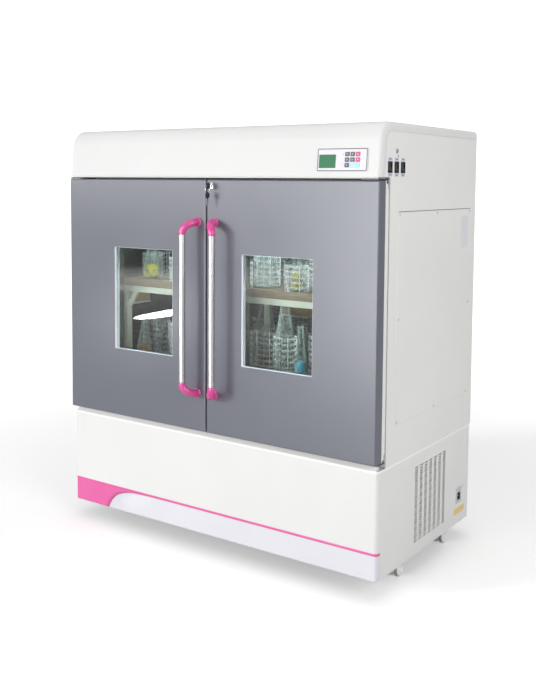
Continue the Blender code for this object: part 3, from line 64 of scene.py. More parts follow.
def gridShape(points, closeRows=False, closeColumns=False):
    rows, columns = points.shape[:2]
    return points.reshape(-1, 3), gridQuads(rows, columns, closeRows, closeColumns)


def merged(shapes):
    # one shape out of many: each one's quads are counted on from the points before it
    starts = np.cumsum([0] + [len(points) for points, _ in shapes[:-1]])
    return np.concatenate([p for p, _ in shapes]), np.concatenate([q + s for (_, q), s in zip(shapes, starts)])


def moved(shape, offset=(0, 0, 0), turned=None, scale=(1, 1, 1)):
    points = shape[0] * np.array(scale, float)
    points = points if turned is None else points @ np.array(turned, float).T
    return points + np.array(offset, float), shape[1]


def copies(shape, places):
    # the same shape at every row of places
    places = np.asarray(places, float).reshape(-1, 3)
    points = (shape[0][None] + places[:, None]).reshape(-1, 3)
    quads = (shape[1][None] + (np.arange(len(places)) * len(shape[0]))[:, None, None]).reshape(-1, 4)
    return points, quads


def lathe(profile, steps=32, axis="Z", centre=(0, 0, 0), ring=False):
    # radius r at height h becomes (r cos a, r sin a, h), then Z is laid along the axis; a ring joins its ends
    radius, level = np.asarray(profile, float).T
    angle = np.arange(steps) * turn / steps
    x = radius[:, None] * np.cos(angle)
    y = radius[:, None] * np.sin(angle)
    z = np.broadcast_to(level[:, None], x.shape)
    order = {"Z": (x, y, z), "X": (z, x, y), "Y": (y, z, x)}[axis]
    return gridShape(np.stack(order, -1) + np.array(centre, float), closeRows=ring, closeColumns=True)


def rounded(profile, radius, steps=4):
    # each inner corner of a polyline gives way to a quadratic curve that starts and ends radius away from it
    p = np.asarray(profile, float)
    out = [p[0][None]]
    for before, corner, after in zip(p[:-2], p[1:-1], p[2:]):
        a, b = before - corner, after - corner
        reach = min(radius, np.linalg.norm(a) / 2, np.linalg.norm(b) / 2)
        a, b = corner + a / np.linalg.norm(a) * reach, corner + b / np.linalg.norm(b) * reach
        t = np.linspace(0, 1, steps + 1)[:, None]
        out.append((1 - t) ** 2 * a + 2 * t * (1 - t) * corner + t ** 2 * b)
    out.append(p[-1][None])
    return np.concatenate(out)


def roundedLoop(low, high, radius, steps=4):
    # four quarter circles, one at each corner of a rectangle, joined into one loop
    low, high = np.array(low, float), np.array(high, float)
    angle = (np.arange(4)[:, None] + np.linspace(0, 1, steps + 1)[None]) * turn / 4
    sign = np.array([[1, 1], [-1, 1], [-1, -1], [1, -1]], float)
    corner = np.where(sign > 0, high - radius, low + radius)[:, None]
    return (corner + radius * np.stack([np.cos(angle), np.sin(angle)], -1)).reshape(-1, 2)


def grownLoop(low, high, grow, radius, steps):
    return roundedLoop(np.array(low) - grow, np.array(high) + grow, radius, steps)


def laid(loop, level, axis):
    # a flat loop at one level along an axis, as points in space
    flat = np.full(len(loop), float(level))
    a, b = loop[:, 0], loop[:, 1]
    return np.stack({"X": (flat, a, b), "Y": (a, flat, b), "Z": (a, b, flat)}[axis], -1)


def loft(rows, axis, pole=None):
    # flat loops (loop, level) joined one to the next, the last to the first, or each end to a pole in its own plane
    if pole is not None:
        point = np.repeat(np.array(pole, float)[None], len(rows[0][0]), 0)
        rows = [(point, rows[0][1]), *rows, (point, rows[-1][1])]
    points = np.stack([laid(loop, level, axis) for loop, level in rows])
    return gridShape(points, closeRows=pole is None, closeColumns=True)


def prism(outline, start, end, axis):
    return loft([(outline, start), (outline, end)], axis, outline.mean(0))


def block(low, high, radius, axis="Z", steps=3, corner=None):
    # rounded block: loops that shrink by r(1 - sin t) while the level falls by r(1 - cos t), with a pole at each end
    low, high = np.array(low, float), np.array(high, float)
    k = "XYZ".index(axis)
    keep = [n for n in range(3) if n != k]
    a, b = low[keep], high[keep]
    corner = radius if corner is None else corner
    t = np.linspace(0, turn / 4, steps + 1)
    shrink = radius * (1 - np.sin(t))
    drop = radius * (1 - np.cos(t))
    levels = np.concatenate([low[k] + drop, high[k] - drop[::-1]])
    rows = [(roundedLoop(a + s, b - s, max(corner - s, 1e-5), steps), level)
            for s, level in zip(np.concatenate([shrink, shrink[::-1]]), levels)]
    return loft(rows, axis, (a + b) / 2)


def tube(path, radius, sides=16, closed=False, across=(0, 0, 1)):
    # at each point the circle is spanned by (tangent x across) and its own cross product with the tangent
    path = np.asarray(path, float)
    tangent = np.roll(path, -1, 0) - np.roll(path, 1, 0) if closed else np.gradient(path, axis=0)
    tangent /= np.linalg.norm(tangent, axis=1)[:, None]
    side = np.cross(tangent, np.array(across, float))
    side /= np.linalg.norm(side, axis=1)[:, None]
    up = np.cross(side, tangent)
    angle = np.arange(sides) * turn / sides
    radius = np.broadcast_to(np.asarray(radius, float), len(path))[:, None, None]
    ring = side[:, None] * np.cos(angle)[None, :, None] + up[:, None] * np.sin(angle)[None, :, None]
    points = path[:, None] + radius * ring
    if not closed:
        first, last = (np.repeat(path[k][None, None], sides, 1) for k in (0, -1))
        points = np.concatenate([first, points, last])
    return gridShape(points, closeRows=closed, closeColumns=True)


def piece(name, shapes, finish, body, replaces=(), even=False, wall=0.0, clean=True):
    # one object at the origin: welded, turned outwards, smooth up to an angle; a wall thickens a sheet inwards,
    # and even keeps the direction of large flat faces beside small round ones
    points, quads = merged(shapes) if isinstance(shapes, list) else shapes
    mesh = bpy.data.meshes.new(name)
    mesh.vertices.add(len(points))
    mesh.vertices.foreach_set("co", np.ascontiguousarray(points, np.float32).ravel())
    mesh.loops.add(quads.size)
    mesh.loops.foreach_set("vertex_index", np.ascontiguousarray(quads, np.int32).ravel())
    mesh.polygons.add(len(quads))
    mesh.polygons.foreach_set("loop_start", np.arange(0, quads.size, 4, dtype=np.int32))
    mesh.update(calc_edges=True)
    mesh.validate()
    if clean:
        work = bmesh.new()
        work.from_mesh(mesh)
        bmesh.ops.remove_doubles(work, verts=work.verts, dist=1e-6)
        bmesh.ops.dissolve_degenerate(work, edges=work.edges, dist=1e-7)
        bmesh.ops.recalc_face_normals(work, faces=work.faces)
        work.to_mesh(mesh)
        work.free()
    mesh.shade_smooth()
    mesh.set_sharp_from_angle(angle=sharpAngle)
    made = bpy.data.objects.new(name, mesh)
    scene.collection.objects.link(made)
    made.data.materials.append(finishes[finish])
    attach(made, body)
    if replaces:
        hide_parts(*replaces)
    if wall:
        solid = made.modifiers.new("wall", "SOLIDIFY")
        solid.thickness, solid.offset, solid.use_even_offset = wall, -1.0, True
    if even:
        soft = made.modifiers.new("evenNormals", "WEIGHTED_NORMAL")
        soft.keep_sharp, soft.weight = True, 100


# finishes

def addNode(tree, kind, settings=None, inputs=None):
    made = tree.nodes.new(kind)
    for key, value in (settings or {}).items():
        setattr(made, key, value)
    for key, value in (inputs or {}).items():
        made.inputs[key].default_value = value
    return made


def startFinish(name):
    made = bpy.data.materials.new(name)
    made.use_nodes = True
    tree = made.node_tree
    return made, tree, tree.nodes["Principled BSDF"], addNode(tree, "ShaderNodeTexCoord").outputs["Object"]


def mapped(tree, value, ranges, settings=None):
    names = ("From Min", "From Max", "To Min", "To Max")
    made = addNode(tree, "ShaderNodeMapRange", settings, dict(zip(names, ranges)))
    tree.links.new(value, made.inputs["Value"])
    return made.outputs["Result"]


def spread(tree, vector, scale, low, high, detail=3.0, inside=(0.3, 0.7)):
    # noise read between two levels and laid over the range low to high
    noise = addNode(tree, "ShaderNodeTexNoise", inputs={"Scale": scale, "Detail": detail})
    tree.links.new(vector, noise.inputs["Vector"])
    return mapped(tree, noise.outputs["Fac"], (*inside, low, high))


def mixed(tree, factor, first, second):
    mix = addNode(tree, "ShaderNodeMix", {"data_type": "RGBA"})
    tree.links.new(factor, mix.inputs["Factor"])
    for socket, value in ((mix.inputs[6], first), (mix.inputs[7], second)):
        if isinstance(value, tuple):
            socket.default_value = (*value, 1)
        else:
            tree.links.new(value, socket)
    return mix.outputs[2]


def surface(name, colour, tint, mottle, rough, grain, metal=0.0, coat=0.0, stretch=None, specks=None, level=0.5):
    # colour drifts slowly towards a tint, gloss drifts at a middle scale, and a fine grain lifts the surface
    made, tree, shader, coords = startFinish(name)
    vector = coords
    if stretch:
        mapping = addNode(tree, "ShaderNodeMapping", inputs={"Scale": stretch})
        tree.links.new(coords, mapping.inputs["Vector"])
        vector = mapping.outputs["Vector"]
    colours = mixed(tree, spread(tree, vector, mottle, 0.0, 1.0), colour, tint)
    if specks:
        size, share, dark = specks
        colours = mixed(tree, spread(tree, coords, size, 0.0, 1.0, 2.0, (share, share + 0.03)), colours, dark)
    tree.links.new(colours, shader.inputs["Base Color"])
    tree.links.new(spread(tree, vector, mottle * 4.3, *rough), shader.inputs["Roughness"])
    bump = addNode(tree, "ShaderNodeBump", inputs={"Strength": grain[1], "Distance": 0.001})
    tree.links.new(spread(tree, vector, grain[0], 0.0, 1.0, 2.0), bump.inputs["Height"])
    tree.links.new(bump.outputs["Normal"], shader.inputs["Normal"])
    for key, value in (("Metallic", metal), ("Coat Weight", coat), ("Specular IOR Level", level)):
        shader.inputs[key].default_value = value
    return made


def clearGlass(name, colour, tint):
    made, tree, shader, coords = startFinish(name)
    tree.links.new(mixed(tree, spread(tree, coords, 4.0, 0.0, 1.0), colour, tint), shader.inputs["Base Color"])
    for key, value in (("Roughness", 0.0), ("Transmission Weight", 1.0), ("Specular IOR Level", 0.03), ("IOR", 1.45)):
        shader.inputs[key].default_value = value
    return made


def flaskGlass(name, colour, tint, faceOn, edgeOn):
    # thin glass: almost nothing face on, more and more of it towards the rims
    made, tree, shader, coords = startFinish(name)
    facing = addNode(tree, "ShaderNodeLayerWeight", inputs={"Blend": 0.35})
    tree.links.new(mapped(tree, facing.outputs["Facing"], (0.0, 0.9, faceOn, edgeOn)), shader.inputs["Alpha"])
    tree.links.new(spread(tree, coords, 30.0, 0.02, 0.1), shader.inputs["Roughness"])
    tree.links.new(mixed(tree, spread(tree, coords, 12.0, 0.0, 1.0), colour, tint), shader.inputs["Base Color"])
    for key, value in (("IOR", 1.5), ("Specular IOR Level", 0.3)):
        shader.inputs[key].default_value = value
    return made


def glowing(name, colour, strength, base):
    made, tree, shader, coords = startFinish(name)
    tree.links.new(mixed(tree, spread(tree, coords, 40.0, 0.0, 1.0), base, colour), shader.inputs["Base Color"])
    shader.inputs["Emission Color"].default_value = (*colour, 1)
    shader.inputs["Emission Strength"].default_value = strength
    return made


# colour, tint it drifts to, scale of the drift, range of roughness, scale and strength of the grain, what is special
boardStretch, brushed = (3.0, 26.0, 26.0), (14.0, 14.0, 0.6)
paints = {
    "whitePaint": ((0.84, 0.845, 0.83), (0.8, 0.805, 0.79), 2.2, (0.42, 0.52), (850.0, 0.035), {"level": 0.28}),
    # the head's white is a darker copy of the white paint: painted shade, against the extra light the leaning head
    # catches
    "headShadedWhite": ((0.79, 0.795, 0.785), (0.75, 0.755, 0.745), 2.2, (0.42, 0.52), (850.0, 0.035), {"level": 0.28}),
    "sidePaint": ((0.85, 0.845, 0.825), (0.82, 0.815, 0.795), 2.5, (0.42, 0.52), (850.0, 0.035), {"level": 0.28}),
    # a brighter copy of the white paint: painted highlight on the base's rolled top edge and along the service panel's
    # front edge
    "highlightWhite": ((0.95, 0.955, 0.95), (0.92, 0.925, 0.92), 3.0, (0.3, 0.4), (850.0, 0.03), {"level": 0.4}),
    "doorPaint": ((0.142, 0.149, 0.184), (0.136, 0.143, 0.177), 1.8, (0.283, 0.32), (1100.0, 0.03), {"level": 0.87}),
    "innerPaint": ((0.78, 0.8, 0.8), (0.72, 0.75, 0.76), 3.0, (0.3, 0.4), (600.0, 0.03)),
    "revealPaint": ((0.74, 0.82, 0.86), (0.68, 0.77, 0.82), 8.0, (0.3, 0.45), (400.0, 0.03)),
    "pinkPlastic": ((0.81, 0.095, 0.37), (0.76, 0.075, 0.33), 9.0, (0.16, 0.26), (500.0, 0.03), {"coat": 0.4}),
    "pinkFilm": ((0.83, 0.15, 0.42), (0.79, 0.125, 0.38), 4.0, (0.3, 0.42), (300.0, 0.015)),
    "lavenderFilm": ((0.8, 0.79, 0.85), (0.76, 0.755, 0.81), 3.0, (0.34, 0.44), (300.0, 0.015)),
    "satinSteel": ((0.66, 0.64, 0.66), (0.58, 0.565, 0.585), 60.0, (0.24, 0.34), (90.0, 0.05),
                   {"metal": 1.0, "stretch": brushed}),
    "mirrorSteel": ((0.38, 0.365, 0.355), (0.28, 0.265, 0.265), 9.0, (0.02, 0.07), (260.0, 0.02),
                    {"metal": 1.0, "stretch": (1.0, 1.0, 9.0)}),
    "springSteel": ((0.86, 0.92, 0.9), (0.5, 0.58, 0.56), 60.0, (0.18, 0.3), (900.0, 0.05), {"metal": 0.4}),
    # a darker copy of the spring steel for the rear clamps: painted shade for the rows deeper in the chamber
    "shadedSpringSteel": ((0.48, 0.54, 0.52), (0.2, 0.24, 0.23), 60.0, (0.22, 0.36), (900.0, 0.05), {"metal": 0.45}),
    "chromed": ((0.85, 0.85, 0.87), (0.7, 0.7, 0.73), 50.0, (0.06, 0.14), (900.0, 0.02), {"metal": 1.0}),
    "zincSteel": ((0.5, 0.51, 0.52), (0.36, 0.37, 0.39), 30.0, (0.3, 0.5), (500.0, 0.08), {"metal": 1.0}),
    "rackPaint": ((0.46, 0.51, 0.42), (0.39, 0.44, 0.36), 14.0, (0.28, 0.42), (500.0, 0.06),
                  {"coat": 0.2, "specks": (120.0, 0.74, (0.4, 0.42, 0.36))}),
    "deckBoard": ((0.085, 0.07, 0.04), (0.15, 0.13, 0.08), 5.0, (0.35, 0.5), (240.0, 0.1),
                  {"stretch": boardStretch, "level": 0.25}),
    "bandBoard": ((0.5, 0.38, 0.1), (0.38, 0.25, 0.05), 5.0, (0.35, 0.5), (240.0, 0.1), {"stretch": boardStretch}),
    "edgeBoard": ((0.2, 0.165, 0.09), (0.13, 0.1, 0.06), 5.0, (0.35, 0.5), (240.0, 0.1),
                  {"stretch": (3.0, 26.0, 60.0), "level": 0.25}),
    "blackPlastic": ((0.025, 0.026, 0.03), (0.04, 0.04, 0.045), 30.0, (0.3, 0.42), (1200.0, 0.06)),
    "blackEnamel": ((0.045, 0.045, 0.052), (0.07, 0.07, 0.078), 25.0, (0.35, 0.5), (700.0, 0.08)),
    "sealRubber": ((0.62, 0.62, 0.61), (0.56, 0.56, 0.55), 20.0, (0.5, 0.65), (900.0, 0.06)),
    "blackRubber": ((0.03, 0.03, 0.032), (0.055, 0.055, 0.058), 40.0, (0.6, 0.8), (900.0, 0.12)),
    "foamFinish": ((0.76, 0.68, 0.45), (0.68, 0.58, 0.36), 40.0, (0.85, 0.95), (220.0, 0.6)),
    "wheelPlastic": ((0.88, 0.89, 0.89), (0.92, 0.92, 0.92), 60.0, (0.12, 0.2), (300.0, 0.02), {"coat": 0.5}),
    "tyreRubber": ((0.33, 0.35, 0.36), (0.42, 0.44, 0.45), 40.0, (0.4, 0.55), (900.0, 0.08)),
    # this grey plastic is also the painted shadow line under the service panel
    "inletPlasticAndShadow": ((0.62, 0.63, 0.65), (0.56, 0.57, 0.59), 40.0, (0.3, 0.42), (1200.0, 0.05)),
    "hoodPlastic": ((0.88, 0.89, 0.89), (0.84, 0.85, 0.85), 50.0, (0.15, 0.25), (300.0, 0.02), {"coat": 0.4}),
    "overlayFilm": ((0.83, 0.82, 0.85), (0.8, 0.79, 0.82), 30.0, (0.35, 0.45), (1500.0, 0.03), {"level": 0.2}),
    # this dark ink is also the painted shadow line above the service panel
    "inkAndPaintedShadow": ((0.13, 0.125, 0.145), (0.11, 0.105, 0.125), 80.0, (0.35, 0.45), (900.0, 0.02)),
    "keyGrey": ((0.09, 0.09, 0.13), (0.11, 0.11, 0.15), 80.0, (0.4, 0.5), (1300.0, 0.06)),
    "keyPink": ((0.66, 0.07, 0.27), (0.6, 0.06, 0.24), 80.0, (0.35, 0.45), (1300.0, 0.06)),
    "keyCyan": ((0.36, 0.74, 0.83), (0.46, 0.8, 0.86), 80.0, (0.35, 0.45), (1300.0, 0.06)),
    "keyMark": ((0.8, 0.8, 0.84), (0.74, 0.74, 0.78), 90.0, (0.4, 0.5), (1500.0, 0.03)),
    "screenGreen": ((0.05, 0.2, 0.095), (0.06, 0.225, 0.115), 60.0, (0.2, 0.3), (900.0, 0.02), {"level": 0.12}),
    "screenInk": ((0.02, 0.1, 0.05), (0.03, 0.13, 0.06), 80.0, (0.3, 0.4), (900.0, 0.02)),
    "labelBlue": ((0.58, 0.64, 0.76), (0.64, 0.69, 0.8), 60.0, (0.4, 0.5), (700.0, 0.02)),
    "labelYellow": ((0.86, 0.6, 0.2), (0.88, 0.66, 0.3), 50.0, (0.35, 0.45), (700.0, 0.02)),
    "labelWhite": ((0.72, 0.73, 0.76), (0.76, 0.76, 0.78), 40.0, (0.4, 0.5), (700.0, 0.02)),
    "yellowBroth": ((0.5, 0.47, 0.005), (0.12, 0.08, 0.002), 55.0, (0.3, 0.4), (60.0, 0.02), {"level": 0.2}),
    "amberBroth": ((0.36, 0.15, 0.01), (0.2, 0.07, 0.01), 40.0, (0.3, 0.4), (60.0, 0.02), {"level": 0.2}),
    "blueBroth": ((0.01, 0.24, 0.42), (0.03, 0.4, 0.56), 50.0, (0.3, 0.4), (60.0, 0.02), {"level": 0.2}),
}
finishes = {name: surface(name, *row[:5], **(row[5] if len(row) > 5 else {})) for name, row in paints.items()}
finishes["windowGlass"] = clearGlass("windowGlass", (0.9, 0.96, 0.95), (0.97, 0.99, 0.98))
finishes["thinGlass"] = flaskGlass("thinGlass", (0.3, 0.42, 0.37), (0.42, 0.55, 0.5), 0.07, 0.8)
# colour that glows, how strongly, colour underneath
# the reveal's glow is painted light: the window edging glows as if lit from inside the chamber
glows = {"revealPaintedGlow": ((0.85, 0.93, 1.0), 0.22, (0.78, 0.86, 0.92)),
         "lampGlow": ((0.86, 0.94, 1.0), 9.0, (0.9, 0.95, 1.0)),
         "ledGreen": ((0.3, 0.9, 0.4), 0.5, (0.4, 0.8, 0.45)), "ledRed": ((0.9, 0.25, 0.4), 0.4, (0.85, 0.4, 0.5))}
finishes.update((name, glowing(name, *row)) for name, row in glows.items())
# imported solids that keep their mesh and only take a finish
bareNodes = {"sidePaint": ["cabinet_shell", "service_panel"], "foamFinish": ["insulation"],
             "mirrorSteel": ["chamber_liner"], "overlayFilm": ["fascia_panel"], "sealRubber": ["door_seal"],
             "blackRubber": ["drive_belt"], "rackPaint": ["platform_frame"], "deckBoard": ["lower_tray", "upper_tray"],
             "zincSteel": ["chassis", "main_crank", "idler_crank_left", "idler_crank_right", "motor_pulley"],
             "blackPlastic": ["switch_block", "cooling_fan"],
             "blackEnamel": ["circulation_fan", "drive_motor", "cooling_unit", "left_hinge_upper", "left_hinge_lower",
                             "right_hinge_upper", "right_hinge_lower"]}
for finish, nodes in bareNodes.items():
    for materials in (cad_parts[node].data.materials for node in nodes):
        materials.clear()
        materials.append(finishes[finish])
print("finishes ready")


# shared places of the cabinet, in metres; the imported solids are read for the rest

doorLow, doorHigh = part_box("right_door")
front, doorBack = doorLow.y, doorHigh.y
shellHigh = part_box("cabinet_shell")[1]
back, halfWidth = shellHigh.y, shellHigh.x
baseLow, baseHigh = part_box("base_shell")
headLow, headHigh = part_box("head_cover")
sides = (("left", -1), ("right", 1))


def sidePlate(start, end, low, high, corner, ease=0.0001, steps=1):
    # thin plate on the right side: from x start to end, between two corners (y, z)
    return block((start, *low), (end, *high), ease, "X", steps, corner)


# head cover

headPlan = {"lean": math.radians(5.5), "setback": 0.0015, "shoulder": 0.062, "corner": 0.012, "lip": 0.030,
            "wall": 0.003, "rearRound": 0.003, "arcSteps": 22, "cornerSteps": 6, "riseSteps": 5, "lipSteps": 3}


def headSection(inset, plan):
    # side outline of the head moved inwards: leaning front, round shoulder, flat top, rounded rear edge, rear lip
    lean, shoulder = plan["lean"], plan["shoulder"]
    centreZ = headHigh.z - shoulder
    tangentZ = centreZ + shoulder * math.sin(lean)
    centreY = front + plan["setback"] + (tangentZ - headLow.z) * math.tan(lean) + shoulder * math.cos(lean)
    radius = shoulder - inset
    angle = turn / 2 - lean - np.linspace(0, 1, plan["arcSteps"] + 1) * (turn / 4 - lean)
    arc = np.stack([centreY + radius * np.cos(angle), centreZ + radius * np.sin(angle)], -1)
    low = np.array([front + plan["setback"] + inset / math.cos(lean), headLow.z])
    rise = np.linspace(0, 1, plan["riseSteps"] + 1)[:-1, None]
    rear = min(plan["rearRound"], plan["lip"] - inset)
    angle = np.linspace(0, turn / 4, 5)
    rearArc = np.stack([back - rear + rear * np.sin(angle), headHigh.z - inset - rear + rear * np.cos(angle)], -1)
    return np.concatenate([low + rise * (arc[0] - low), arc, rearArc, [[back, headHigh.z - plan["lip"]]]])


def headCover(plan):
    # across the head: lip, corner where x = half - r + r sin a and inset = r - r cos a, then flat to the other side
    r, lipSteps = plan["corner"], plan["lipSteps"]
    angle = np.linspace(0, turn / 4, plan["cornerSteps"] + 1)[::-1]
    insets = np.concatenate([np.linspace(plan["lip"], r, lipSteps + 1)[:-1], r - r * np.cos(angle)])
    across = np.concatenate([np.full(lipSteps, halfWidth), halfWidth - r + r * np.sin(angle)])
    insets, across = np.concatenate([insets, insets[::-1]]), np.concatenate([across, -across[::-1]])
    return gridShape(np.stack([laid(headSection(inset, plan), x, "X") for inset, x in zip(insets, across)]))


# the head cover takes the darker copy of the white paint: painted shade
piece("headCover", headCover(headPlan), "headShadedWhite", "cabinet", ["head_cover"], True, headPlan["wall"])
print("head cover done")


# base: wall with its slots, stripe, corner block, skirt and seam

basePlan = {"wall": 0.002, "corner": 0.012, "cornerSteps": 6, "slots": (7, 28), "slot": (0.0245, 0.0043),
            "grille": ((-0.058, 0.187), (0.107, 0.363)), "socketHalf": (0.0173, 0.0233)}
trimPlan = {"stripe": (0.1465, 0.1545), "wrap": 0.008, "skirtGap": 0.0015,
            "blockEdge": [(0.065, -0.484), (0.080, -0.477), (0.098, -0.466), (0.112, -0.452), (0.124, -0.434),
                          (0.133, -0.411), (0.140, -0.383), (0.1445, -0.340), (0.1465, -0.276)],
            "seam": [(0.0002, 0.0076), (0.0015, 0.0072), (0.0021, 0.0062), (0.0018, 0.0050), (0.0003, 0.0006),
                     (-0.0006, 0.0004), (-0.0006, 0.0076)]}
socketLow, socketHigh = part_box("power_inlet")
socketCentre = (socketLow + socketHigh) / 2
baseLoop = roundedLoop(baseLow.xy, baseHigh.xy, basePlan["corner"], basePlan["cornerSteps"])


def baseWall(plan):
    # along the wall a slot's cell runs: edge, start and end of the slot's straight part, edge; up it in thirds
    (columns, rows), (long, tall), (rangeY, rangeZ) = plan["slots"], plan["slot"], plan["grille"]
    pitchY = (rangeY[1] - rangeY[0] - long) / (columns - 1)
    pitchZ = (rangeZ[1] - rangeZ[0] - tall) / (rows - 1)
    straight, h, y, z = (long - tall) / 2, tall / 2, pitchY / 2, pitchZ / 2
    centresY = rangeY[0] + long / 2 + np.arange(columns) * pitchY
    centresZ = rangeZ[0] + h + np.arange(rows) * pitchZ
    breaksY = np.concatenate([centresY - straight, centresY + straight, centresY - y, centresY[-1:] + y])
    breaksZ = np.concatenate([centresZ - z / 3, centresZ + z / 3, centresZ - z, centresZ[-1:] + z])
    holeY, holeZ = (middle + np.array([-half, half]) for middle, half in zip(socketCentre.yz, plan["socketHalf"]))
    # a cell is a ring of quads between the slot's outline, two half circles, and the cell's edge
    angle = np.radians([-90, -54, -18, 18, 54, 90])
    inner = np.stack([straight + h * np.cos(angle), h * np.sin(angle)], -1)
    outer = np.array([[straight, -z], [y, -z], [y, -z / 3], [y, z / 3], [y, z], [straight, z]])
    rings = [laid(np.concatenate([loop, -loop]), baseHigh.x, "X") for loop in (inner, outer)]
    gridY, gridZ = np.meshgrid(centresY, centresZ, indexing="ij")
    places = np.stack([np.zeros(gridY.size), gridY.ravel(), gridZ.ravel()], -1)
    cells = copies(gridShape(np.stack(rings), closeColumns=True), places)
    # the wall's grid runs round the plan and up it, with lines wherever a hole starts or ends
    sideY = np.sort(np.concatenate([breaksY, holeY]))
    loop = np.concatenate([baseLoop, np.column_stack([np.full(len(sideY), baseHigh.x), sideY])])
    levels = np.sort(np.concatenate([[baseLow.z, baseHigh.z], breaksZ, holeZ]))
    points, quads = gridShape(np.stack([laid(loop, level, "Z") for level in levels]), closeColumns=True)
    middleX, middleY, middleZ = points[quads].mean(1).T

    def within(alongY, upZ):
        return (middleY > alongY.min()) & (middleY < alongY.max()) & (middleZ > upZ.min()) & (middleZ < upZ.max())

    gone = (middleX > baseHigh.x - 1e-5) & (within(breaksY, breaksZ) | within(holeY, holeZ))
    return [(points, quads[~gone]), cells]


def frontStrip(levels, lefts, rights, outwards):
    # each row follows the base's front line from its own start to its own end, bent back round the plan's corners
    r, flat = basePlan["corner"], halfWidth - basePlan["corner"]
    rows = []
    for z, left, right in np.broadcast(levels, lefts, rights):
        a, b = max(left, -flat), min(right, flat)
        s = np.concatenate([np.linspace(left, a, 8)[:-1], np.linspace(a, b, 8), np.linspace(b, right, 8)[1:]])
        bend = np.clip((np.abs(s) - flat) / r, 0, turn / 4)
        past = np.maximum(np.abs(s) - flat - r * turn / 4, 0)
        x = np.sign(s) * (np.minimum(np.abs(s), flat) + (r + outwards) * np.sin(bend))
        y = baseLow.y + r - (r + outwards) * np.cos(bend) + past
        rows.append(laid(np.column_stack([x, y]), z, "Z"))
    return gridShape(np.stack(rows))


piece("baseWall", baseWall(basePlan), "whitePaint", "cabinet", ["base_shell"], True, basePlan["wall"])
wrapEnd = halfWidth - basePlan["corner"] + basePlan["corner"] * turn / 4 + trimPlan["wrap"]
stripeLevels = np.linspace(*trimPlan["stripe"], 4)
blockLevels = np.linspace(baseLow.z + 0.0005, stripeLevels[0], 28)
blockEdge = np.interp(blockLevels, *np.array(trimPlan["blockEdge"]).T)
skirtStart = blockEdge + trimPlan["skirtGap"]
for name, levels, lefts, rights, reach, film, finish, slot in (
        ("pinkStripe", stripeLevels, -wrapEnd, wrapEnd, 0.0012, 0.0010, "pinkFilm", "pink_plastic"),
        ("pinkCorner", blockLevels, -wrapEnd, blockEdge, 0.0010, 0.0008, "pinkFilm", "pink_plastic"),
        ("paleSkirt", blockLevels, skirtStart, wrapEnd, 0.0005, 0.0003, "lavenderFilm", "white_paint")):
    piece(name, frontStrip(levels, lefts, rights, reach), finish, "cabinet", wall=film)
# rolled edge along the top of the base: a long slope that faces up, over a short round, swept round the plan; its
# brighter white is a painted highlight
outwards = np.roll(baseLoop, -1, 0) - np.roll(baseLoop, 1, 0)
outwards = np.column_stack([outwards[:, 1], -outwards[:, 0]]) / np.linalg.norm(outwards, axis=1)[:, None]
seam = loft([(baseLoop + outwards * reach, baseHigh.z - drop) for reach, drop in trimPlan["seam"]], "Z")
piece("baseSeam", seam, "highlightWhite", "cabinet")
print("base done")


# doors, and the small parts round them

doorPlan = {"edge": 0.005, "backEdge": 0.0015, "lip": 0.0012, "step": 0.009, "rebate": 0.008, "leastRound": 0.0005,
            "window": (0.1504, 0.429), "sill": 0.6846, "lintel": 1.0601, "corner": 0.003, "windowCorner": 0.0015,
            "cornerSteps": 4, "liningGap": 0.0006, "liningEdge": 0.0025, "liningEase": 0.001, "liningDepth": 0.0145,
            "paneGap": 0.0012, "edging": (0.00005, 0.0008, 0.0003), "rim": 0.0142, "rimGap": 0.0002, "rimEase": 0.0012,
            "flange": (0.0125, 0.0052, 0.026)}
# a strip under the head, a slope on the base's front edge, covers on the hinge plates and caps on the doors' sides
stripPlan = {"under": (0.0003, 0.0038), "underY": (0.0040, 0.050), "end": 0.008, "cover": (0.0008, 0.0006, 0.0015),
             "slope": [(-0.3180, 0.4149), (-0.3066, 0.4262), (-0.2985, 0.4262), (-0.2985, 0.4149), (-0.3180, 0.4149)],
             "capY": (-0.2915, -0.2828), "capX": (0.0001, 0.0007), "capTall": 0.0088, "capGap": 0.0002}


def doorLeaf(low, high, windowLow, windowHigh, plan):
    # closed loops round the leaf: side, round edge, face, window lip, step for the pane, back face
    edge, lip, soft, step, rebate = (plan[key] for key in ("edge", "lip", "backEdge", "step", "rebate"))
    leafBack, t = doorBack - plan["rim"], np.linspace(0, turn / 4, 6)
    ahead, aside = 1 - np.sin(t), 1 - np.cos(t)
    outside = [(soft * s, leafBack - soft * c, plan["corner"]) for s, c in zip(ahead[::2], aside[::2])]
    outside += [(edge * c, front + edge * s, max(edge - edge * c, plan["leastRound"])) for s, c in zip(ahead, aside)]
    window = [(lip * s, front + lip * c) for s, c in zip(ahead, aside)]
    window += [(0.0, front + step), (rebate, front + step), (rebate, leafBack)]
    steps, corner = plan["cornerSteps"], plan["windowCorner"]
    rows = [(grownLoop(low, high, -inset, radius, steps), y) for inset, y, radius in outside]
    return loft(rows + [(grownLoop(windowLow, windowHigh, grow, corner, steps), y) for grow, y in window], "Y")


def rectangleRing(outer, inner, start, end, soft):
    # ring between two rounded rectangles, each (low, high, radius); its outer corners are eased by soft
    low, high, radius = outer
    eased, full = (grownLoop(low, high, -cut, radius, doorPlan["cornerSteps"]) for cut in (soft, 0.0))
    inside = roundedLoop(*inner, doorPlan["cornerSteps"])
    rows = [(inside, start), (eased, start), (full, start + soft), (full, end - soft), (eased, end), (inside, end)]
    return loft(rows, "Y")


def sided(side, low, high):
    return sorted((side * low, side * high))


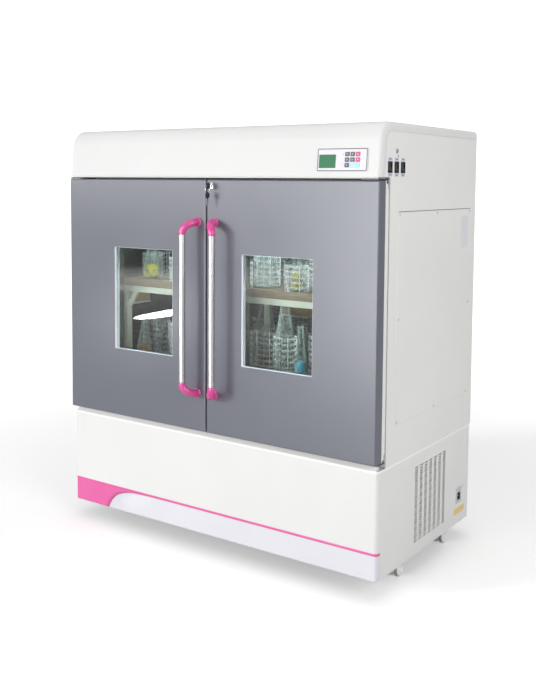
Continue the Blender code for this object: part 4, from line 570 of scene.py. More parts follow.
for name, side in sides:
    door = name + "_door"
    nodeLow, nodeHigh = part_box(door)
    glassLow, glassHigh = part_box(name + "_pane")
    a, b = sided(side, *doorPlan["window"])
    windowLow, windowHigh = np.array([a, doorPlan["sill"]]), np.array([b, doorPlan["lintel"]])
    corner, grow = doorPlan["windowCorner"], doorPlan["rebate"]
    leaf = doorLeaf(nodeLow.xz, nodeHigh.xz, windowLow, windowHigh, doorPlan)
    piece(name + "Door", leaf, "doorPaint", door, [door], True)
    rim = rectangleRing((nodeLow.xz, nodeHigh.xz, doorPlan["corner"]), (windowLow - grow, windowHigh + grow, corner),
                        doorBack - doorPlan["rim"] + doorPlan["rimGap"], doorBack, doorPlan["rimEase"])
    piece(name + "Rim", rim, "sidePaint", door, even=True)
    # flange behind the rim on the hinge side, between the hinges
    wide, deep, end = doorPlan["flange"]
    outer = max(abs(nodeLow.x), abs(nodeHigh.x))
    a, b = sided(side, outer - wide, outer)
    flangeLow = (a, doorBack - doorPlan["rimEase"], nodeLow.z + end)
    flange = block(flangeLow, (b, doorBack + deep, nodeHigh.z - end), 0.0008, "Y", 2)
    piece(name + "Flange", flange, "sidePaint", door, even=True)
    thin, thick, gap = doorPlan["edging"]
    outer, inner = ((windowLow + out, windowHigh - out, radius) for out, radius in ((thin, corner), (thick, 0.001)))
    edging = rectangleRing(outer, inner, front + thick, glassLow.y - gap, 0.0002)
    # the edging glows: painted light for the reveal lit from inside the chamber
    piece(name + "Edging", edging, "revealPaintedGlow", door, even=True)
    gap = Vector((doorPlan["paneGap"], 0, doorPlan["paneGap"]))
    pane = block(glassLow + gap, glassHigh - gap, 0.0008, "Y")
    piece(name + "Pane", pane, "windowGlass", door, [name + "_pane"], True)
    # sleeve between the pane and the back of the leaf: pale near the pane, plain steel behind it
    outside, inside, ease = grow - doorPlan["liningGap"], doorPlan["liningEdge"], doorPlan["liningEase"]
    split = glassHigh.y + doorPlan["liningDepth"]
    for word, start, end, finish, slot in (
            ("Lining", glassHigh.y + 0.0006, split, "revealPaint", "white_paint"),
            ("InnerLining", split + 0.0004, doorBack - 0.0008, "mirrorSteel", "stainless")):
        section = ((outside, start), (outside, end), (inside + ease, end), (inside, end - ease), (inside, start + ease),
                   (inside + ease, start))
        sleeve = loft([(grownLoop(windowLow, windowHigh, out, corner, 2), y) for out, y in section], "Y")
        piece(name + word, sleeve, finish, door, even=True)
    # cover in front of the upper hinge plate, and caps on the door's side
    hingeLow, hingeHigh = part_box(name + "_hinge_upper")
    gap, ease, setback = stripPlan["cover"]
    coverLow = (hingeLow.x, front + setback, doorHigh.z + gap)
    hingeCover = block(coverLow, (hingeHigh.x, hingeLow.y - gap / 2, hingeHigh.z), ease, "Z", 2, 0.001)
    piece(name + "HingeCover", hingeCover, "blackPlastic", "cabinet", even=True)
    a, b = sided(side, *(doorHigh.x + out for out in stripPlan["capX"]))
    (startY, endY), tall, gap = stripPlan["capY"], stripPlan["capTall"], stripPlan["capGap"]
    capLevels = (doorLow.z + gap, doorHigh.z - tall - gap)
    caps = [block((a, startY, z), (b, endY, z + tall), 0.0002, "X", 2, 0.001) for z in capLevels]
    piece(name + "HingeCaps", caps, "blackPlastic", door)
reach, (gap, deep) = halfWidth - stripPlan["end"], stripPlan["under"]
(startY, endY), top = stripPlan["underY"], headLow.z - gap
under = block((-reach, front + startY, top - deep + gap), (reach, front + endY, top), 0.0006, "Z", 2, 0.003)
piece("headStrip", under, "sidePaint", "cabinet", even=True)
slope = prism(rounded(stripPlan["slope"], 0.001, 3)[:-1], -reach, reach, "X")
piece("baseSlope", slope, "sidePaint", "cabinet", even=True)
print("doors done")


# handles

handlePlan = {"gripSides": 48, "collar": 0.0123, "collarLength": 0.006, "collarInset": 0.004, "elbow": 0.013,
              "elbowEnd": 0.0122, "lead": 0.034, "tail": 0.024, "straight": 0.003, "baseX": 0.037, "rise": 0.041,
              "gap": 0.0003, "steps": 26, "sides": 28, "foot": [(0, 0), (0.0155, 0), (0.016, 0.0006), (0.016, 0.0022),
                                                                (0.015, 0.003), (0.0128, 0.0036), (0, 0.0036)]}


def elbowPath(side, level, direction, gripX, gripY, plan):
    # cubic curve from straight out of the door to straight along the grip
    foot = np.array([side * plan["baseX"], front - plan["gap"], level + direction * plan["rise"]])
    neck = np.array([gripX, gripY, level + direction * plan["gap"]])
    start = foot + [0, -plan["straight"], 0]
    end = neck + [0, 0, direction * plan["straight"]]
    lead = start + [0, -plan["lead"], 0]
    tail = end + [0, 0, direction * plan["tail"]]
    t = np.linspace(0, 1, plan["steps"])[:, None]
    curve = (1 - t) ** 3 * start + 3 * (1 - t) ** 2 * t * lead + 3 * (1 - t) * t ** 2 * tail + t ** 3 * end
    return np.concatenate([foot[None], curve, neck[None]])


def collar(radius, start, plan):
    # raised band on the grip, with eased edges
    c, end = plan["collar"], start + plan["collarLength"]
    return [(radius, start), (c - 0.0003, start + 0.0003), (c, start + 0.001),
            (c, end - 0.001), (c - 0.0003, end - 0.0003), (radius, end)]


for name, side in sides:
    low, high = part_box(name + "_grip")
    gripX, gripY, radius = (low.x + high.x) / 2, (low.y + high.y) / 2, (high.x - low.x) / 2
    inset = handlePlan["collarInset"]
    lower, upper = low.z + inset, high.z - inset - handlePlan["collarLength"]
    profile = [(0, low.z), (radius - 0.001, low.z), (radius, low.z + 0.001), *collar(radius, lower, handlePlan),
               *collar(radius, upper, handlePlan), (radius, high.z - 0.001), (radius - 0.001, high.z), (0, high.z)]
    grip = lathe(profile, handlePlan["gripSides"], "Z", (gripX, gripY, 0))
    piece(name + "Grip", grip, "satinSteel", name + "_door", [name + "_grip"])
    for word, level, direction in (("upper", high.z, 1), ("lower", low.z, -1)):
        path = elbowPath(side, level, direction, gripX, gripY, handlePlan)
        size = np.full(len(path), handlePlan["elbow"])
        size[[0, -1]] = handlePlan["elbowEnd"]
        shapes = [tube(path, size, handlePlan["sides"], across=(1, 0, 0.2)),
                  moved(lathe(handlePlan["foot"], 32, "Y"), path[0], scale=(1, -1, 1))]
        node = f"{name}_elbow_{word}"
        piece(f"{name}Elbow{word.title()}", shapes, "pinkPlastic", name + "_door", [node])
print("handles done")


# controls on the leaning face: outline, screen and keys, in the control plate's own frame

fasciaPlan = {"side": 0.133, "rise": 0.0525, "setback": 0.0015, "width": 0.178, "height": 0.072, "thickness": 0.003,
              "gap": 0.0003, "outline": 0.0029, "outlineInset": 0.0010, "outlineRound": 0.0040, "outlineProud": 0.00018,
              "screen": (-0.052, -0.0045, 0.058, 0.039), "screenRecess": 0.0006, "screenBand": 0.0012,
              "screenGrow": 0.0014, "keySize": (0.015, 0.013), "pitch": (0.0187, 0.0169), "keypad": (0.018, 0.017),
              "proud": 0.0012, "keyBody": 0.0026, "film": 0.00012, "lampX": 0.0046,
              "lamp": [(0, 0.0008), (0.0009, 0.0007), (0.0013, 0.0003), (0.0014, 0.0), (0, 0)]}
figurePlan = {"rows": (("370", 0.0085), ("180", -0.0085)), "first": -0.004, "pitch": 0.0085, "tall": 0.0095,
              "lift": 0.00002}
segmentsOf = {"3": "abcdg", "7": "abc", "0": "abcdef", "1": "bc", "8": "abcdefg"}
fasciaPlace = np.array([halfWidth - fasciaPlan["side"],
                        front + fasciaPlan["setback"] + fasciaPlan["rise"] * math.tan(headPlan["lean"]),
                        headLow.z + fasciaPlan["rise"]])
fasciaTurn = np.array(Matrix.Rotation(-headPlan["lean"], 3, "X"))
plateFace = -fasciaPlan["gap"] - fasciaPlan["thickness"]
inkBack = plateFace + 0.0001


def onFascia(shapes):
    return moved(merged(shapes) if isinstance(shapes, list) else shapes, fasciaPlace, fasciaTurn)


def ringStrip(low, high, width, corner):
    # flat raised ring between two rounded rectangles, with small side walls down to the plate
    outer, inner = roundedLoop(low, high, corner, 5), grownLoop(low, high, -width, max(corner - width, 0.0004), 5)
    inkFace = inkBack - fasciaPlan["outlineProud"]
    return loft([(outer, inkBack), (outer, inkFace), (inner, inkFace), (inner, inkBack)], "Y")


halfPlate = np.array([fasciaPlan["width"], fasciaPlan["height"]]) / 2 - fasciaPlan["outlineInset"]
screenX, screenZ, screenWide, screenTall = fasciaPlan["screen"]
screenLow = np.array([screenX - screenWide / 2, screenZ - screenTall / 2])
screenHigh = np.array([screenX + screenWide / 2, screenZ + screenTall / 2])
grow = fasciaPlan["screenGrow"]
border = ringStrip(-halfPlate, halfPlate, fasciaPlan["outline"], fasciaPlan["outlineRound"])
screenFrame = ringStrip(screenLow - grow, screenHigh + grow, fasciaPlan["screenBand"], grow)
piece("fasciaOutline", onFascia([border, screenFrame]), "inkAndPaintedShadow", "cabinet")
screenFace = plateFace + fasciaPlan["screenRecess"]
glass = block((screenLow[0], screenFace, screenLow[1]), (screenHigh[0], -fasciaPlan["gap"], screenHigh[1]), 0.0004, "Y")
piece("screen", onFascia(glass), "screenGreen", "cabinet", ["display_window"], True)


def sevenSegment(x, z, tall, segments):
    # bars of one figure; each is a small six-sided prism, flat on the screen
    wide, bar, start = tall * 0.5, tall * 0.09, screenFace - figurePlan["lift"]
    spots = {"a": (0, tall / 2, 0), "g": (0, 0, 0), "d": (0, -tall / 2, 0), "f": (-wide / 2, tall / 4, 1),
             "b": (wide / 2, tall / 4, 1), "e": (-wide / 2, -tall / 4, 1), "c": (wide / 2, -tall / 4, 1)}
    made = []
    for dx, dz, upright in (spots[letter] for letter in segments):
        long = (tall / 2 if upright else wide) / 2 - bar * 0.7
        outline = np.array([[-long - bar / 2, 0], [-long, -bar / 2], [long, -bar / 2], [long + bar / 2, 0],
                            [long, bar / 2], [-long, bar / 2]])
        outline = (outline[:, ::-1] if upright else outline) + (x + dx, z + dz)
        made.append(prism(outline, start, screenFace - fasciaPlan["film"], "Y"))
    return merged(made)


marks = [sevenSegment(screenX + figurePlan["first"] + column * figurePlan["pitch"], screenZ + level, figurePlan["tall"],
                      segmentsOf[figure]) for word, level in figurePlan["rows"] for column, figure in enumerate(word)]
piece("screenFigures", onFascia(marks), "screenInk", "cabinet")
keyFace = plateFace - fasciaPlan["proud"] + 0.00004


def arrow(x, z, size, up):
    # flat triangle as a thin prism; its tip is a double point
    sign = 1 if up else -1
    tip = [0, size * 1.2 * sign]
    outline = np.array([[-size, 0], [size, 0], tip, tip]) + (x, z - size * 0.5 * sign)
    return prism(outline, keyFace, keyFace - fasciaPlan["film"], "Y")


def dash(x, z, wide, tall):
    return block((x - wide / 2, keyFace - fasciaPlan["film"], z - tall / 2), (x + wide / 2, keyFace, z + tall / 2),
                 0.00003, "Y", 1, tall * 0.4)


keyFinish = {(0, 2): ("keyPink", "key_pink"), (1, 2): ("keyPink", "key_pink"), (2, 1): ("keyCyan", "key_cyan")}
(keyWide, keyTall), (pitchX, pitchZ), (firstX, firstZ) = (fasciaPlan[key] for key in ("keySize", "pitch", "keypad"))
top = plateFace - fasciaPlan["proud"]
for row, column in [(row, column) for row in range(3) for column in range(3 if row < 2 else 2)]:
    name, word = f"key_{row + 1}_{column + 1}", f"{row + 1}{column + 1}"
    wide = keyWide + (pitchX if (row, column) == (2, 1) else 0)
    x, z = firstX + column * pitchX + (wide - keyWide) / 2, firstZ - row * pitchZ
    finish, slot = keyFinish.get((row, column), ("keyGrey", "key_dark"))
    cap = block((x - wide / 2, top, z - keyTall / 2), (x + wide / 2, top + fasciaPlan["keyBody"], z + keyTall / 2),
                0.0006, "Y", 4, 0.0018)
    piece("keyCap" + word, onFascia(cap), finish, name, [name], True)
    if column == 2:
        mark = arrow(x, z, 0.003, row == 0)
    elif (row, column) == (2, 1):
        mark = dash(x, z, 0.010, 0.0016)
    else:
        mark = [dash(x, z + 0.0013, 0.006, 0.0010), dash(x, z - 0.0015, 0.004, 0.0010)]
    piece("keyMark" + word, onFascia(mark), "keyMark", name)
for index, finish in enumerate(("keyGrey", "ledGreen", "ledRed")):
    place = (fasciaPlan["lampX"], inkBack, firstZ - index * pitchZ)
    dot = moved(lathe(fasciaPlan["lamp"], 16, "Y"), place, scale=(1, -1, 1))
    piece(f"indicator{index + 1}", onFascia(dot), finish, "cabinet")
print("controls done")


# rocker switches with their label strips

rockerPlan = {"first": 0.065, "pitch": 0.043, "rise": 0.031, "depth": 0.005, "width": 0.022, "height": 0.028,
              "crown": 0.007, "dip": 0.0034, "foot": 0.8, "tilt": math.radians(-9), "label": (0.026, 0.011),
              "labelRise": (("Upper", 0.0245), ("Lower", -0.0235)), "bar": (0.0035, 0.004), "bars": (-0.008, 0.0058, 3),
              "ends": ((0.0012, 0.0), (0.0004, 0.0003), (0.0, 0.0012))}


def rockerCap(plan):
    # side outline swept along Y: straight flanks and a top that dips as a parabola; the ends shrink to a small round
    half, top = plan["height"] / 2, plan["crown"]
    v = np.linspace(-1, 1, 13)
    crown = np.column_stack([top - plan["dip"] * (1 - v ** 2), v * half])
    foot = np.array([-plan["depth"], half * plan["foot"]])
    outline = np.concatenate([[foot * (1, -1)], crown, [foot]])
    middle = np.array([top / 3, 0.0])
    rows = [(middle + (outline - middle) * (1 - inset / half), y - plan["width"] / 2) for inset, y in plan["ends"]]
    return loft(rows + [(loop, -level) for loop, level in rows[::-1]], "Y", middle)


rockerTurn = np.array(Matrix.Rotation(rockerPlan["tilt"], 3, "Y"))
(wide, tall), (barWide, barTall), (barStart, barPitch, bars) = (rockerPlan[key] for key in ("label", "bar", "bars"))
z = headLow.z + rockerPlan["rise"]
for row in range(3):
    node, y = f"rocker_{row + 1}", front + rockerPlan["first"] + row * rockerPlan["pitch"]
    cap =moved(rockerCap(rockerPlan), (halfWidth - rockerPlan["depth"], y, z), rockerTurn)
    piece(f"rocker{row + 1}", cap, "blackPlastic", node, [node], True)
    for word, rise in rockerPlan["labelRise"]:
        level = z + rise
        plate = sidePlate(halfWidth + 0.0001, halfWidth + 0.0005, (y - wide / 2, level - tall / 2),
                          (y + wide / 2, level + tall / 2), 0.001)
        starts = [y + barStart + k * barPitch for k in range(bars)]
        inks = [sidePlate(halfWidth + 0.0004, halfWidth + 0.0007, (start, level - barTall / 2),
                          (start + barWide, level + barTall / 2), 0.0004) for start in starts]
        piece(f"switchLabel{word}{row + 1}", plate, "labelBlue", "cabinet")
        piece(f"switchBars{word}{row + 1}", inks, "inkAndPaintedShadow", "cabinet")
# plug and stud above the switches: distance behind the front, level, steps round, then radius and height
plugPlan = [(0.108, 1.398, 32, [(0, 0.004), (0.003, 0.004), (0.0034, 0.0032), (0.0060, 0.0028), (0.0072, 0.0016),
                                (0.0075, 0.0001), (0, 0.0001)]),
            (0.118, 1.383, 24, [(0, 0.0024), (0.0018, 0.0021), (0.0032, 0.0012), (0.0036, 0.0001), (0, 0.0001)])]
plugs = [lathe(profile, steps, "X", (halfWidth, front + y, level)) for y, level, steps, profile in plugPlan]
piece("sidePlug", plugs, "zincSteel", "cabinet")
print("switches done")


# lock and keys on the right door

lockPlan = {"flange": 0.011, "flangeDepth": 0.0035, "barrel": 0.0085, "bow": 0.011, "bowThick": 0.003, "hole": 0.003,
            "rim": 0.003, "blade": (0.002, 0.0074, 0.027), "keyway": 0.020, "ring": 0.011, "wire": 0.0009,
            "spareBlade": (0.007, 0.024), "spareHole": 0.0021, "bladeSteps": 41, "ringSteps": 64, "notch": 0.0011}
barrelLow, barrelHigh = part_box("lock_barrel")
lockX, lockFace, lockZ = (barrelLow.x + barrelHigh.x) / 2, barrelLow.y, (barrelLow.z + barrelHigh.z) / 2


def circle(radius, centre, steps=36):
    angle = np.arange(steps) * turn / steps
    return np.array(centre) + radius * np.stack([np.cos(angle), np.sin(angle)], -1)


def scaledLoop(loop, factor):
    middle = loop.mean(0)
    return middle + (loop - middle) * factor


def bow(centre, hole, edge=0.0005):
    # round disc across the lock, its outer edges eased, then back through the hole
    outer, half = circle(lockPlan["bow"], centre), lockPlan["bowThick"] / 2
    small, low, high = scaledLoop(outer, 1 - edge / lockPlan["bow"]), lockX - half, lockX + half
    rows = [(hole, low), (small, low), (outer, low + edge), (outer, high - edge), (small, high), (hole, high)]
    return loft(rows, "X")


def bladeSolid(start, end, tall, upright=False):
    # flat bar whose lower edge is notched as a row of shallow triangle waves, drawn in at both ends
    steps, half = lockPlan["bladeSteps"], lockPlan["blade"][0] / 2
    t = np.linspace(0, 1, steps)
    wave = np.where((t > 0.1) & (t < 0.92), lockPlan["notch"] * np.abs(((t * 7) % 1) - 0.5) * 2, 0.0)
    narrow = np.where((t == 0) | (t == 1), 0.6, 1.0)
    upper, lower = tall / 2 * narrow, (wave - tall / 2) * narrow
    edges = [(-half, upper), (-half, lower), (half, lower), (half, upper)]
    along = start + (end - start) * t
    rows = np.stack([laid(np.column_stack([along, across]), lockX + x, "X") for x, across in edges])
    first, last = (np.broadcast_to([lockX, level, 0], (4, 1, 3)) for level in (start, end))
    rows = np.concatenate([first, rows, last], 1)
    return gridShape(rows[:, :, [0, 2, 1]] if upright else rows, closeRows=True)


f, b, depth, end = lockPlan["flange"], lockPlan["barrel"], lockFace + lockPlan["flangeDepth"], barrelHigh.y
profile = [(0, lockFace + 0.0002), (0.0052, lockFace + 0.0002), (0.0056, lockFace), (f - 0.0012, lockFace),
           (f, lockFace + 0.0012), (f, depth), (b, depth), (b, end - 0.0006), (b - 0.0006, end), (0, end)]
piece("lockBarrel", lathe(profile, 40, "Y", (lockX, 0, lockZ)), "chromed", "lock", ["lock_barrel"])
wide, tall, long = lockPlan["blade"]
bowSize, hole, ring, wire = (lockPlan[key] for key in ("bow", "hole", "ring", "wire"))
bladeEnd = lockFace + lockPlan["keyway"] - 0.0003
bowY = bladeEnd - long - bowSize + wide
holeY = bowY - bowSize + lockPlan["rim"] + hole
keyBow = bow((bowY, lockZ), circle(hole, (holeY, lockZ)))
piece("keyBow", keyBow, "blackPlastic", "lock", ["lock_key"])
blade = moved(bladeSolid(bladeEnd - long, bladeEnd, tall), (0, 0, lockZ))
piece("keyBlade", blade, "chromed", "lock")
ringZ = lockZ - hole + wire + 0.0003 - ring
angle = np.arange(lockPlan["ringSteps"]) * turn / lockPlan["ringSteps"]
ringPath = laid(np.column_stack([holeY + ring * np.sin(angle), ringZ + ring * np.cos(angle)]), lockX, "X")
piece("keyRing", tube(ringPath, wire, 10, True, (1, 0, 0)), "chromed", "spare_key", ["spare_key"])
spareZ = ringZ - ring - bowSize + lockPlan["rim"]
spareBow = bow((holeY, spareZ), circle(lockPlan["spareHole"], (holeY, ringZ - ring + 0.0002)))
piece("spareBow", spareBow, "blackPlastic", "spare_key")
tall, long = lockPlan["spareBlade"]
bladeTop = spareZ - bowSize + 0.002
blade = moved(bladeSolid(bladeTop, bladeTop - long, tall, True), (0, holeY, 0))
piece("spareBlade", blade, "chromed", "spare_key")
print("lock done")


# service panel, mains inlet and plates on the right side, ledge on the base

panelPlan = {"screw": (0.0046, 0.0014), "screwInset": 0.008, "top": (0.0002, 0.0022), "bottom": (-0.0014, -0.0002),
             "front": (0.0032, 0.0002), "sheet": 0.0012, "label": ((0.272, 1.074), (0.334, 1.185))}
inletPlan = {"corner": 0.004, "opening": (0.0125, 0.0140), "rise": -0.0040, "depth": 0.014, "play": 0.0006,
             "pins": ((-0.007, -0.0015), (0.0, 0.0018), (0.007, -0.0015)), "pin": (0.0010, 0.0022)}
platePlan = {"Yellow": ("labelYellow", (0.2700, 0.1000), (0.3590, 0.1235)),
             "Pale": ("labelWhite", (0.302, 0.186), (0.352, 0.201))}
panelLow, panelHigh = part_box("service_panel")
face, sideFace = panelHigh.x - panelPlan["sheet"], halfWidth + 0.0001
# painted shadow lines along the panel's top and bottom, a painted highlight along its front edge, and a bare label
for word, level, (start, end), finish in (("Top", panelHigh.z, panelPlan["top"], "inkAndPaintedShadow"),
                                          ("Bottom", panelLow.z, panelPlan["bottom"], "inletPlasticAndShadow")):
    lineLow, lineHigh = (panelLow.y + 0.001, level + start), (panelHigh.y - 0.001, level + end)
    line = sidePlate(sideFace, halfWidth + 0.0004, lineLow, lineHigh, 0.0004)
    piece("panelLine" + word, line, finish, "cabinet")
start, end = (panelLow.y - out for out in panelPlan["front"])
light = sidePlate(sideFace, halfWidth + 0.0009, (start, panelLow.z), (end, panelHigh.z), 0.0006, 0.0003, 2)
piece("panelLineFront", light, "highlightWhite", "cabinet")
bare = sidePlate(face + 0.00005, face + 0.0004, *panelPlan["label"], 0.002)
piece("bareLabel", bare, "lavenderFilm", "cabinet")
(r, proud), inset = panelPlan["screw"], panelPlan["screwInset"]
screw = lathe([(0, proud), (0.0009, proud), (0.0010, proud * 0.5), (0.0022, proud * 0.5), (0.0024, proud * 0.96),
               (r * 0.8, proud * 0.7), (r, 0.0001), (0, 0.0001)], 24, "X")
middle = (panelLow + panelHigh) / 2
spots = [(face, y, z) for y in (panelLow.y + inset, middle.y, panelHigh.y - inset)
         for z in (panelLow.z + inset, middle.z, panelHigh.z - inset) if (y, z) != (middle.y, middle.z)]
piece("panelScrews", copies(screw, spots), "zincSteel", "cabinet")

halfOpening, inX, outX = np.array(inletPlan["opening"]), socketHigh.x - inletPlan["depth"], socketHigh.x
openMiddle = np.array(socketCentre.yz) + (0, inletPlan["rise"])
outer = roundedLoop(socketLow.yz, socketHigh.yz, inletPlan["corner"], 5)
opening = grownLoop(openMiddle, openMiddle, halfOpening, 0.003, 5)
inner = grownLoop(socketCentre.yz, socketCentre.yz, np.array(basePlan["socketHalf"]) - inletPlan["play"], 0.002, 5)
inletRows = [(opening, inX), (opening, outX - 0.0008), (scaledLoop(opening, 1.07), outX),
             (scaledLoop(outer, 0.96), outX), (outer, outX - 0.0009), (outer, sideFace),
             (inner, sideFace), (inner, inX)]
piece("inletFrame", loft(inletRows, "X"), "inletPlasticAndShadow", "cabinet", ["power_inlet"], True)
floorLow, floorHigh = openMiddle - halfOpening - 0.001, openMiddle + halfOpening + 0.001
near, far, mouth = scaledLoop(opening, 0.985), scaledLoop(opening, 0.90), outX - 0.0012
sleeve = [(near, inX), (near, mouth), (far, mouth), (far, inX)]
socket = [block((inX - 0.0015, *floorLow), (inX + 0.0002, *floorHigh), 0.0004, "X", 2, 0.003), loft(sleeve, "X")]
piece("inletSocket", socket, "blackPlastic", "cabinet")
pins = [block((inX, *(openMiddle + place - inletPlan["pin"])), (outX - 0.003, *(openMiddle + place + inletPlan["pin"])),
              0.0005, "X", 2) for place in inletPlan["pins"]]
piece("inletPins", pins, "zincSteel", "cabinet")
for word, (finish, low, high) in platePlan.items():
    plate = sidePlate(sideFace, halfWidth + 0.0005, low, high, 0.002)
    piece("plainPlate" + word, plate, finish, "cabinet")
ledgeLow = (-halfWidth + 0.0035, baseLow.y + 0.0025, baseHigh.z - 0.0026)
ledgeHigh = (halfWidth - 0.0035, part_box("door_seal")[1].y - 0.0005, baseHigh.z - 0.0006)
ledge = block(ledgeLow, ledgeHigh, 0.0005, "Z", 2, 0.006)
piece("baseLedge", ledge, "whitePaint", "cabinet", even=True)
print("side done")


# casters

casterPlan = {"steps": 48, "tyre": 0.0055, "web": 0.006, "gap": 0.0005, "trail": 0.020, "shield": (28, 158, 27),
              "arm": (0.005, 0.009, 0.002), "armTop": 0.0495, "plate": (0.021, 0.003),
              "stem": [(0, 0.0470), (0.0105, 0.0470), (0.0115, 0.0480), (0.0115, 0.0525), (0.0100, 0.0540),
                       (0.0090, 0.0545)]}


def wheelProfile(radius, half, inner):
    # radius and distance from the middle: hub cap, dished face, rim, inner face, bore
    return [(0, half - 0.0012), (0.0035, half - 0.0012), (0.0045, half - 0.0004), (0.0060, half - 0.0022),
            (radius - 0.0075, half - 0.0026), (radius - 0.0055, half - 0.0004), (radius - 0.0035, half - 0.0002),
            (radius - 0.0014, half - 0.0016), (radius - 0.0012, inner + 0.0012), (radius - 0.003, inner),
            (0.0040, inner), (0.0040, 0.0), (0, 0.0)]


def tyreProfile(radius, start, end):
    return [(radius - 0.0016, start), (radius - 0.0004, start + 0.0004), (radius, start + 0.0014),
            (radius, end - 0.0014), (radius - 0.0004, end - 0.0004), (radius - 0.0016, end)]


def wheelShield(centre, half, radius, plan):
    # an arc over the wheels at a constant distance from the axle, with rounded lips along both sides
    start, end, steps = plan["shield"]
    arc = np.radians(np.linspace(start, end, steps))
    outside, lip, inside = radius + 0.0034, radius + 0.0022, radius + 0.0016
    section = ((-half, lip), (-half + 0.0006, outside), (half - 0.0006, outside), (half, lip), (half - 0.0006, inside),
               (-half + 0.0006, inside))
    rows = np.stack([laid(np.stack([centre.y + r * np.cos(arc), centre.z + r * np.sin(arc)], -1), centre.x + x, "X")
                     for x, r in section])
    first, last = (np.repeat(rows[:, k].mean(0)[None, None], len(section), 0) for k in (0, -1))
    return gridShape(np.concatenate([first, rows, last], 1), closeRows=True)


for name in ("front_left", "front_right", "rear_left", "rear_right"):
    swivel, wheels = f"caster_{name}_swivel", f"caster_{name}_wheels"
    low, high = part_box(wheels)
    centre, radius, half, web = (low + high) / 2, (high.z - low.z) / 2, (high.x - low.x) / 2, casterPlan["web"]
    inner = web + casterPlan["gap"]
    middle, reach = (half + inner) / 2, casterPlan["tyre"]
    disc = lathe(wheelProfile(radius, half, inner), casterPlan["steps"], "X")
    tyre = lathe(tyreProfile(radius, middle - reach, middle + reach), casterPlan["steps"], "X", ring=True)
    discs, tyres = ([moved(shape, centre, scale=(side, 1, 1)) for side in (-1, 1)] for shape in (disc, tyre))
    piece(f"wheels_{name}", discs, "wheelPlastic", wheels, [wheels])
    piece(f"tyres_{name}", tyres, "tyreRubber", wheels)
    low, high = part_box(swivel)
    stemX, stemY, stemTop = (low.x + high.x) / 2, centre.y - casterPlan["trail"], high.z - 0.0028
    hub = lathe([(0, -web), (0.0180, -web), (0.0200, -web + 0.0015), (0.0200, web - 0.0015), (0.0180, web), (0, web)],
                40, "X", centre)
    (armX, armY, armDrop), armTop = casterPlan["arm"], casterPlan["armTop"]
    armLow = (stemX - armX, stemY - armY, centre.z + armDrop)
    arm = block(armLow, (stemX + armX, centre.y, armTop), 0.0015, "Y", 3, 0.002)
    stem = lathe([*casterPlan["stem"], (0.0090, stemTop), (0, stemTop)], 32, "Z", (stemX, stemY, 0))
    reach, thick = casterPlan["plate"]
    plate = block((low.x, stemY - reach, high.z - thick), (high.x, stemY + reach, high.z), 0.0006, "Z", 2, 0.004)
    forks = [hub, arm, wheelShield(centre, half, radius, casterPlan)]
    piece(f"forks_{name}", forks, "hoodPlastic", swivel, [swivel])
    piece(f"stems_{name}", [stem, plate], "zincSteel", swivel)
print("casters done")


# inside the chamber: lamp, bands, deck edge, clamps and flasks

linerLow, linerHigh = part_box("chamber_liner")
lampPlan = {"radius": 0.009, "half": 0.50, "y": linerLow.y + 0.035, "drop": 0.030, "holder": 0.012,
            "rear": (-0.14, 0.52, 0.757, 0.840), "side": (-0.170, 0.000, 0.819, 0.896), "off": 0.0018,
            "bandDeep": 0.008, "lipDeep": 0.012, "lip": (0.006, 0.0002), "deckEdge": (0.0285, 0.0014, 0.0003)}
lampY, lampZ = lampPlan["y"], linerHigh.z - lampPlan["drop"]
r, half, reach = lampPlan["radius"], lampPlan["half"], lampPlan["holder"]
profile = [(0, -half), (r - 0.001, -half), (r, -half + 0.001), (r, half - 0.001), (r - 0.001, half), (0, half)]
piece("lampTube", lathe(profile, 24, "X", (0, lampY, lampZ)), "lampGlow", "cabinet")
holders = [block((x - reach, lampY - reach, lampZ - reach), (x + reach, lampY + reach, linerHigh.z - 0.002), 0.002)
           for x in (-half, half)]
piece("lampHolders", holders, "labelWhite", "cabinet")
off, (lipDrop, lipGap) = lampPlan["off"], lampPlan["lip"]
for wall in ("rear", "side"):
    start, end, lowZ, highZ = lampPlan[wall]
    for word, deep, low, high, finish, slot in (
            ("Band", lampPlan["bandDeep"], lowZ, highZ, "bandBoard", "tray"),
            ("Lip", lampPlan["lipDeep"], lowZ - lipDrop, lowZ - lipGap, "innerPaint", "stainless")):
        corners = [(start, linerHigh.y - deep, low), (end, linerHigh.y - off, high)] if wall == "rear" else \
            [(linerLow.x + off, start, low), (linerLow.x + deep, end, high)]
        piece(wall + word, block(*corners, 0.001, "Y" if wall == "rear" else "X", 2), finish, "cabinet")
rackLow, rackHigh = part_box("platform_frame")
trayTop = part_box("upper_tray")[1].z
tall, thick, gap = lampPlan["deckEdge"]
edgeLow = (rackLow.x + 0.001, rackLow.y - thick - gap, trayTop - tall)
edgeHigh = (rackHigh.x - 0.001, rackLow.y - gap, trayTop - 0.0005)
piece("deckEdge", block(edgeLow, edgeHigh, 0.0004, "Z", 2, 0.0006), "edgeBoard", "platform")

clampPlan = {"bigX": (-0.348, -0.116, 0.116, 0.348), "bigY": (-0.138, 0.042, 0.222), "bigRing": 0.0435,
             "smallX": (-0.232, 0.045, 0.232), "smallY": (-0.196, -0.048, 0.132), "smallRing": 0.0375,
             "endX": (-0.445, 0.445), "endY": (-0.110, -0.020, 0.070), "foot": 0.004, "legs": 6, "firstLeg": 0.3,
             "wire": 0.0017, "coil": 0.0042, "coilWire": 0.0014, "pitch": 0.0088, "perCoil": 5, "frontRows": -0.1,
             "ends": 0.40, "onClamp": 0.052}


